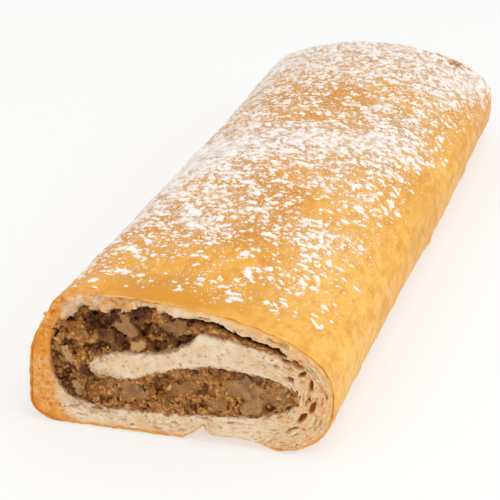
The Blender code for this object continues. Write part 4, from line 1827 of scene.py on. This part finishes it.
@dataclass
class Sugar:
    """Clumps of icing sugar on the skin, each a low heap with an uneven outline, and loose grains."""

    form: RollForm
    relief: CrustRelief
    spread: SugarSpread
    finish: SugarFinish = SugarFinish()
    cell: float = 0.00050
    span: tuple[float, float] = (0.0, 0.56)
    clumps: int = 42000
    median: float = 0.00047
    spread_of_sizes: float = 0.50
    largest: float = 0.0015
    amount: float = 0.66
    least_height: float = 0.00014
    steepness: float = 0.26
    sunk: float = 0.00020
    grains: int = 36000
    grain_sizes: tuple[float, float] = (0.00013, 0.00036)
    seed: int = 61

    @property
    def last_v(self) -> float:
        """How far along the roll the sugar goes."""
        return self.form.straight_end + 1.1 * self.form.end_rounding

    def clumpiness(self, points: Array, noise_of: LatticeNoise) -> Array:
        """How much more or less sugar lies at points, because it falls in clumps."""
        made = 1 + 1.2 * noise_of.at(points, 0.0062) + 1.3 * noise_of.at(points + 0.4, 0.0026)
        return made.clip(0.0)

    def heights(self, skin: Array, out: Array, cover: Array) -> Array:
        """Heaps the clumps on a grid over the skin.

        Args:
            skin: The grid's points, in rows round the roll and columns along it.
            out: Directions out of the skin at them.
            cover: How thickly sugar lies at each of them.

        Returns:
            The sugar's height above the skin, less than 0 where there is none.
        """
        draw = np.random.default_rng(self.seed)
        rows, columns = cover.shape
        made = np.full(cover.shape, -self.sunk)
        mottled = LatticeNoise(self.seed)
        ragged = 0.95 * mottled.layered(skin, 0.0012, 2)
        wanted = -np.log(1 - cover.clip(0.0, 0.90)) * self.clumpiness(skin, mottled) * self.amount
        for _ in range(self.clumps):
            row, column = int(draw.integers(rows)), int(draw.integers(columns))
            chance, size = draw.random(), math.exp(self.spread_of_sizes * draw.normal())
            long_way, turn = draw.uniform(1.0, 1.8), draw.uniform(0.0, math.pi)
            if chance > wanted[row, column]:
                continue
            size = min(self.largest, self.median * size)
            level = max(0.3, out[row, column, 2])
            wide = int(size * long_way / (self.cell * level**0.4)) + 2
            deep = int(size * long_way / self.cell) + 2
            part = (
                slice(max(0, row - wide), row + wide + 1),
                slice(max(0, column - deep), column + deep + 1),
            )
            a = (skin[part][..., 0] - skin[row, column, 0]) / level**0.6
            b = skin[part][..., 1] - skin[row, column, 1]
            first = (a * math.cos(turn) + b * math.sin(turn)) / (size * long_way)
            second = (b * math.cos(turn) - a * math.sin(turn)) / size
            away = (first**2 + second**2) * (1 + ragged[part])
            tall = self.least_height + self.steepness * size
            made[part] = np.maximum(made[part], tall * (1 - away))
        return np.maximum(made, -self.sunk)

    def heaps(self, material: bpy.types.Material) -> None:
        """Meshes the clumps.

        Args:
            material: The sugar's material.
        """
        round_length = np.linalg.norm(np.diff(self.form.table[0], axis=0), axis=1).sum()
        u = np.arange(self.span[0], self.span[1], self.cell / round_length)
        v = np.arange(self.form.front_y + 0.006, self.last_v, self.cell)
        grid_u, grid_v = np.meshgrid(u, v, indexing="ij")
        skin = self.form.point(grid_u, grid_v)
        out = self.form.normal(grid_u, grid_v)
        heights = self.heights(skin, out, self.spread.cover(skin))
        lift = self.relief.height(skin) + heights
        points = (skin + out * lift[..., None]).reshape(-1, 3)
        number = np.arange(len(points)).reshape(heights.shape)
        stands = heights > 0
        some = stands[:-1, :-1] | stands[1:, :-1] | stands[1:, 1:] | stands[:-1, 1:]
        quads = [number[:-1, :-1], number[1:, :-1], number[1:, 1:], number[:-1, 1:]]
        faces = np.stack([q[some] for q in quads], axis=1)
        used, faces = np.unique(faces, return_inverse=True)
        thin = ramp(0.00022, 0.00002, heights.ravel()[used])
        piece = make_mesh("icing_sugar", points[used], faces.reshape(-1, 4), {"thin": thin})
        settle(piece, Node.PASTRY, material)

    def loose(self, material: bpy.types.Material) -> None:
        """Scatters single grains, each a low three-sided peak.

        Args:
            material: The sugar's material.
        """
        draw = np.random.default_rng(self.seed + 1)
        tries = 8 * self.grains
        u = draw.uniform(self.span[0], self.span[1], tries)
        v = draw.uniform(self.form.front_y + 0.004, self.last_v, tries)
        skin = self.form.point(u, v)
        chance = self.spread.cover(skin) * (0.4 + 0.6 * self.clumpiness(skin, LatticeNoise(self.seed)))
        kept = np.flatnonzero(draw.random(tries) < chance)[: self.grains]
        skin, out = skin[kept], self.form.normal(u[kept], v[kept])
        skin = skin + out * self.relief.height(skin)[:, None]
        size = draw.uniform(*self.grain_sizes, len(kept)) * draw.uniform(0.7, 1.3, len(kept))
        side = np.cross(out, draw.normal(size=out.shape))
        side /= np.linalg.norm(side, axis=1, keepdims=True)
        other = np.cross(out, side)
        corners = [skin + out * (1.1 * size)[:, None]]
        for i in range(3):
            angle = math.tau * i / 3 + draw.uniform(-0.4, 0.4, len(kept))
            reach = size * draw.uniform(0.8, 1.5, len(kept))
            flat = side * (reach * np.cos(angle))[:, None] + other * (reach * np.sin(angle))[:, None]
            corners.append(skin + flat - out * 0.00005)
        points = np.stack(corners, axis=1).reshape(-1, 3)
        first = 4 * np.arange(len(kept))[:, None]
        faces = np.concatenate([first + np.array([0, 1 + i, 1 + (i + 1) % 3]) for i in range(3)])
        piece = make_mesh("sugar_grains", points, faces, {"thin": np.full(len(points), 0.3)})
        settle(piece, Node.PASTRY, material)

    def build(self, effects: Effects) -> None:
        """Makes both pieces of sugar from one material."""
        material = self.finish.material(effects)
        self.heaps(material)
        self.loose(material)


@dataclass
class Crust:
    """The baked skin: round the roll, in over its cut edge, and over the closed end."""

    form: RollForm
    relief: CrustRelief
    spread: SugarSpread
    finish: CrustFinish = CrustFinish()
    rounds: int = 300
    rows: int = 290
    crowding: float = 1.35
    edge: float = 0.00030
    edge_wave: float = 0.00060
    torn_setback: float = 0.0058
    end_gap: float = 0.0004
    rim_fade: float = 0.45
    seed: int = 71
    # Browned spots on the closed end's upper edge: (x, distance behind the cut, reach)
    toasted: tuple[tuple[float, float, float], ...] = (
        (0.0050, 0.3300, 0.0036),
        (0.0185, 0.3270, 0.0024),
        (0.0300, 0.3270, 0.0052),
        (0.0435, 0.3225, 0.0066),
    )
    # The cut edge, from inside to outside: (inset from the skin, place behind its front)
    rim: tuple[tuple[float, float], ...] = (
        (0.0014, 0.0040),
        (0.0010, 0.0010),
        (0.0007, 0.0002),
        (0.0004, -0.0001),
        (0.0001, 0.0),
    )

    def __post_init__(self) -> None:
        """Makes the skin's noise."""
        self.noise = LatticeNoise(self.seed)

    def front_edge(self, points: Array) -> Array:
        """How far behind the knife the skin starts."""
        wave = self.noise.at(points, 0.0035) + 0.5 * self.noise.at(points + 0.5, 0.0013)
        torn = ramp(-0.0560, -0.050, points[..., 0]) * ramp(-0.026, -0.033, points[..., 0])
        torn = torn * ramp(0.030, 0.040, points[..., 2])
        ragged = 1 + 0.35 * self.noise.layered(points + 1.0, 0.0040, 3)
        return self.edge + self.edge_wave * (1 + wave) + self.torn_setback * torn * ragged

    def masks(self, points: Array, rim: Array) -> dict[str, Array]:
        """What the material reads at the mesh's points.

        Args:
            points: The mesh's points.
            rim: How much each is a part of the cut edge.

        Returns:
            Numbers for each point, by name.
        """
        x, y, z = points.T
        from_cut = y - self.form.cut_y(x)
        patch = self.noise.at(points + 2.0, 0.016)
        small = self.noise.at(points + 3.0, 0.004)
        flank = ramp(0.030, 0.046, x)
        # Paler crust, partly painted light: the front and the right flank, where the light falls most,
        # are painted paler.
        lit = np.maximum(ramp(0.24, 0.06, from_cut), 0.7 * flank)
        pale = ramp(0.004, 0.040, x) * lit * (0.8 + 0.5 * patch)
        low = ramp(0.030, 0.010, z)
        # Orange is partly baked browning and partly painted: a painted warm reflection along the lower
        # band, and painted shade down the left side where the skin turns from the light.
        orange = (0.35 - 0.25 * flank) * low + 0.65 * ramp(-0.036, -0.052, x) + 0.22 * patch
        orange += 0.24 * ramp(0.025, 0.095, from_cut) * hill(x, -0.006, 0.036)
        orange += 0.25 * ramp(0.20, 0.30, from_cut) * ramp(0.030, 0.050, x)
        spots = np.zeros_like(x)
        for at_x, at_s, wide in self.toasted:
            away = ((x - at_x) / wide) ** 2 + ((from_cut - at_s) / (0.9 * wide)) ** 2
            spots = np.maximum(spots, ramp(1.2, 0.3, away + 1.1 * small) * ramp(0.028, 0.034, z))
        foot = 0.45 * ramp(0.0022, 0.0004, z) * (1 + small)
        end = 0.30 * ramp(0.333, 0.345, from_cut) * (0.6 + patch)
        # Painted shade: the left side near the cut is painted browner where the skin turns away from the
        # light.
        side = 0.35 * ramp(-0.050, -0.059, x) * ramp(0.090, 0.020, from_cut) * (1 + small)
        brown = np.maximum(np.maximum(0.7 * spots, foot), np.maximum(end, side))
        torn = self.relief.rough_share(points)
        return {
            "pale": pale.clip(0.0, 1.0),
            "orange": (orange * (1 - torn)).clip(0.0, 1.0),
            "brown": brown.clip(0.0, 1.0),
            "rim": (rim * (0.25 + 0.75 * ramp(-0.048, -0.036, x)) + 0.35 * torn).clip(0.0, 1.0),
            "dust": self.spread.cover(points) * (1 - rim),
        }

    def build(self, effects: Effects) -> None:
        """Builds and dresses the skin.

        Args:
            effects: The shared node groups.
        """
        u = np.arange(self.rounds) / self.rounds
        first = self.form.point(u, np.full_like(u, self.form.front_y))
        start = self.form.cut_y(first[:, 0]) + self.front_edge(first)
        share = np.linspace(0.0, 1.0, self.rows) ** self.crowding
        grid_v = start[:, None] + share[None, :] * (self.form.end_v - self.end_gap - start[:, None])
        grid_u = np.repeat(u[:, None], self.rows, axis=1)
        skin = self.form.point(grid_u, grid_v)
        out = self.form.normal(grid_u, grid_v)
        skin = skin + out * self.relief.height(skin)[..., None]
        skin[..., 2] = skin[..., 2].clip(0.0)
        edges = []
        for inset, behind in self.rim:
            ring = skin[:, 0] - out[:, 0] * inset
            ring[:, 1] = start + behind
            ring[:, 2] = ring[:, 2].clip(0.0)
            edges.append(ring)
        points = np.concatenate([np.stack(edges, axis=1), skin], axis=1)
        across = points.shape[1]
        rim = np.zeros((self.rounds, across))
        rim[:, : len(self.rim)] = 1.0
        rim[:, len(self.rim)] = self.rim_fade
        number = np.arange(points.shape[0] * across).reshape(self.rounds, across)
        beside = np.roll(number, -1, axis=0)
        faces = [number[:, :-1], number[:, 1:], beside[:, 1:], beside[:, :-1]]
        quads = np.stack([f.ravel() for f in faces], axis=1)
        flat = points.reshape(-1, 3)
        middle = skin[:, -1].mean(axis=0)
        flat = np.vstack([flat, middle])
        last = number[:, -1]
        cap = np.stack([last, np.full_like(last, len(flat) - 1), np.roll(last, -1)], axis=1)
        masks = self.masks(flat, np.append(rim.ravel(), 0.0))
        piece = make_mesh("crust", flat, quads[:, ::-1], masks)
        self.close_end(piece, cap[:, ::-1])
        settle(piece, Node.PASTRY, self.finish.material(effects))

    @staticmethod
    def close_end(piece: bpy.types.Object, faces: Array) -> None:
        """Closes the hole in the middle of the closed end.

        Args:
            piece: The skin.
            faces: Triangles round the middle point.
        """
        work = bmesh.new()
        work.from_mesh(piece.data)
        work.verts.ensure_lookup_table()
        for face in faces.tolist():
            work.faces.new([work.verts[i] for i in face]).smooth = True
        work.to_mesh(piece.data)
        work.free()


@dataclass(frozen=True)
class Lamp:
    """A soft box: its width in metres and its power in watts."""

    name: str
    place: tuple[float, float, float]
    size: float
    power: float
    colour: tuple[float, float, float]


@dataclass
class Studio:
    """The plain pale floor, soft light and a camera at the photograph's angle."""

    form: RollForm
    floor_size: float = 30.0
    floor_colour: tuple = (0.38, 0.38, 0.378, 1.0)
    floor_roughness: float = 0.9
    floor_specular: float = 0.1
    floor_gap: float = 0.0002
    floor_glow: float = 0.575
    glow_colour: tuple = (1.0, 1.0, 0.998, 1.0)
    room_light: float = 0.80
    room_colour: tuple = (1.0, 0.995, 0.985, 1.0)
    lamps: tuple[Lamp, ...] = (
        Lamp("key", (0.35, -0.25, 1.10), 0.9, 3.2, (1.0, 0.99, 0.97)),
        Lamp("right", (1.0, -0.15, 0.55), 0.8, 1.9, (1.0, 0.98, 0.95)),
        Lamp("front", (-0.25, -1.1, 0.55), 0.7, 1.5, (1.0, 0.99, 0.98)),
    )
    lit_point: tuple[float, float, float] = (0.0, -0.05, 0.03)
    frame_size: int = 500
    pitch: float = math.radians(24.87)
    yaw: float = math.radians(16.63)
    focal: float = 1536.8  # in pixels of the 500 by 500 frame
    # Where a point of the cut's foot lies in the frame, how far it is from the camera, and how far
    # it lies behind the roll's frontmost point
    foot_pixel: tuple[float, float] = (179.5, 434.6)
    foot_depth: float = 0.5461
    foot_behind: float = 0.00476
    sensor: float = 36.0

    def camera(self) -> None:
        """Places the camera."""
        focal, yaw = self.focal, self.yaw
        right = Vector((math.cos(yaw), math.sin(yaw), 0.0))
        level = Vector((-math.sin(yaw), math.cos(yaw), 0.0))
        ahead = level * math.cos(self.pitch) - Vector((0, 0, math.sin(self.pitch)))
        above = right.cross(ahead)
        middle = self.frame_size / 2
        aside = (self.foot_pixel[0] - middle) / focal
        lower = (self.foot_pixel[1] - middle) / focal
        foot = Vector((0.0, self.form.front_y + self.foot_behind, 0.0))
        place = foot - self.foot_depth * (ahead + right * aside - above * lower)
        lens = bpy.data.cameras.new("camera")
        lens.sensor_width = self.sensor
        lens.lens = self.sensor * focal / self.frame_size
        lens.clip_start = 0.01
        camera = bpy.data.objects.new("camera", lens)
        turn = Matrix((right, above, -ahead)).transposed().to_4x4()
        camera.matrix_world = Matrix.Translation(place) @ turn
        bpy.context.scene.collection.objects.link(camera)
        bpy.context.scene.camera = camera

    def floor(self) -> None:
        """Lays the floor."""
        half = self.floor_size / 2
        corners = np.array([[-half, -half, 0], [half, -half, 0], [half, half, 0], [-half, half, 0]])
        floor = make_mesh("floor", corners - [0, 0, self.floor_gap], np.array([[0, 1, 2, 3]]))
        material = bpy.data.materials.new("floor")
        material.use_nodes = True
        shader = material.node_tree.nodes["Principled BSDF"]
        shader.inputs["Base Color"].default_value = self.floor_colour
        shader.inputs["Roughness"].default_value = self.floor_roughness
        shader.inputs["Specular IOR Level"].default_value = self.floor_specular
        shader.inputs["Emission Color"].default_value = self.glow_colour
        shader.inputs["Emission Strength"].default_value = self.floor_glow
        floor.data.materials.append(material)

    def hang(self, lamp: Lamp) -> None:
        """Hangs a soft box that looks at the roll.

        Args:
            lamp: The soft box.
        """
        light = bpy.data.lights.new(lamp.name, "AREA")
        light.shape, light.size = "DISK", lamp.size
        light.energy, light.color = lamp.power, lamp.colour
        hung = bpy.data.objects.new(lamp.name, light)
        hung.location = lamp.place
        aim = Vector(self.lit_point) - Vector(lamp.place)
        hung.rotation_euler = aim.to_track_quat("-Z", "Y").to_euler()
        bpy.context.scene.collection.objects.link(hung)

    def lights(self) -> None:
        """Sets the room's soft white light and the soft boxes."""
        world = bpy.data.worlds.new("room")
        world.use_nodes = True
        bpy.context.scene.world = world
        room = world.node_tree.nodes["Background"]
        room.inputs["Color"].default_value = self.room_colour
        room.inputs["Strength"].default_value = self.room_light
        for lamp in self.lamps:
            self.hang(lamp)

    def build(self) -> None:
        """Sets up the whole studio."""
        self.camera()
        self.floor()
        self.lights()
        scene = bpy.context.scene
        scene.view_settings.view_transform = "Standard"
        scene.view_settings.look = "None"
        scene.view_settings.exposure = 0.0
        scene.view_settings.gamma = 1.0


def main() -> None:
    """Builds the studio and every piece of the roll, and notes the sizes."""
    logging.basicConfig(level=logging.INFO, format="%(name)s %(message)s")
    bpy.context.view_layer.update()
    low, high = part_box(Node.PASTRY.value)
    form = RollForm(front_y=-0.1715, back_y=0.1715)
    LOG.info("the solids run from y %.4f to y %.4f", low.y, high.y)
    effects = Effects()
    Studio(form).build()
    relief = CrustRelief(form)
    spread = SugarSpread(form)
    Crust(form, relief, spread).build(effects)
    Crumb(form).build(effects)
    filling = NutFilling(form)
    filling.paste(effects)
    filling.pieces(effects)
    Sugar(form, relief, spread).build(effects)


if __name__ == "__main__":
    main()
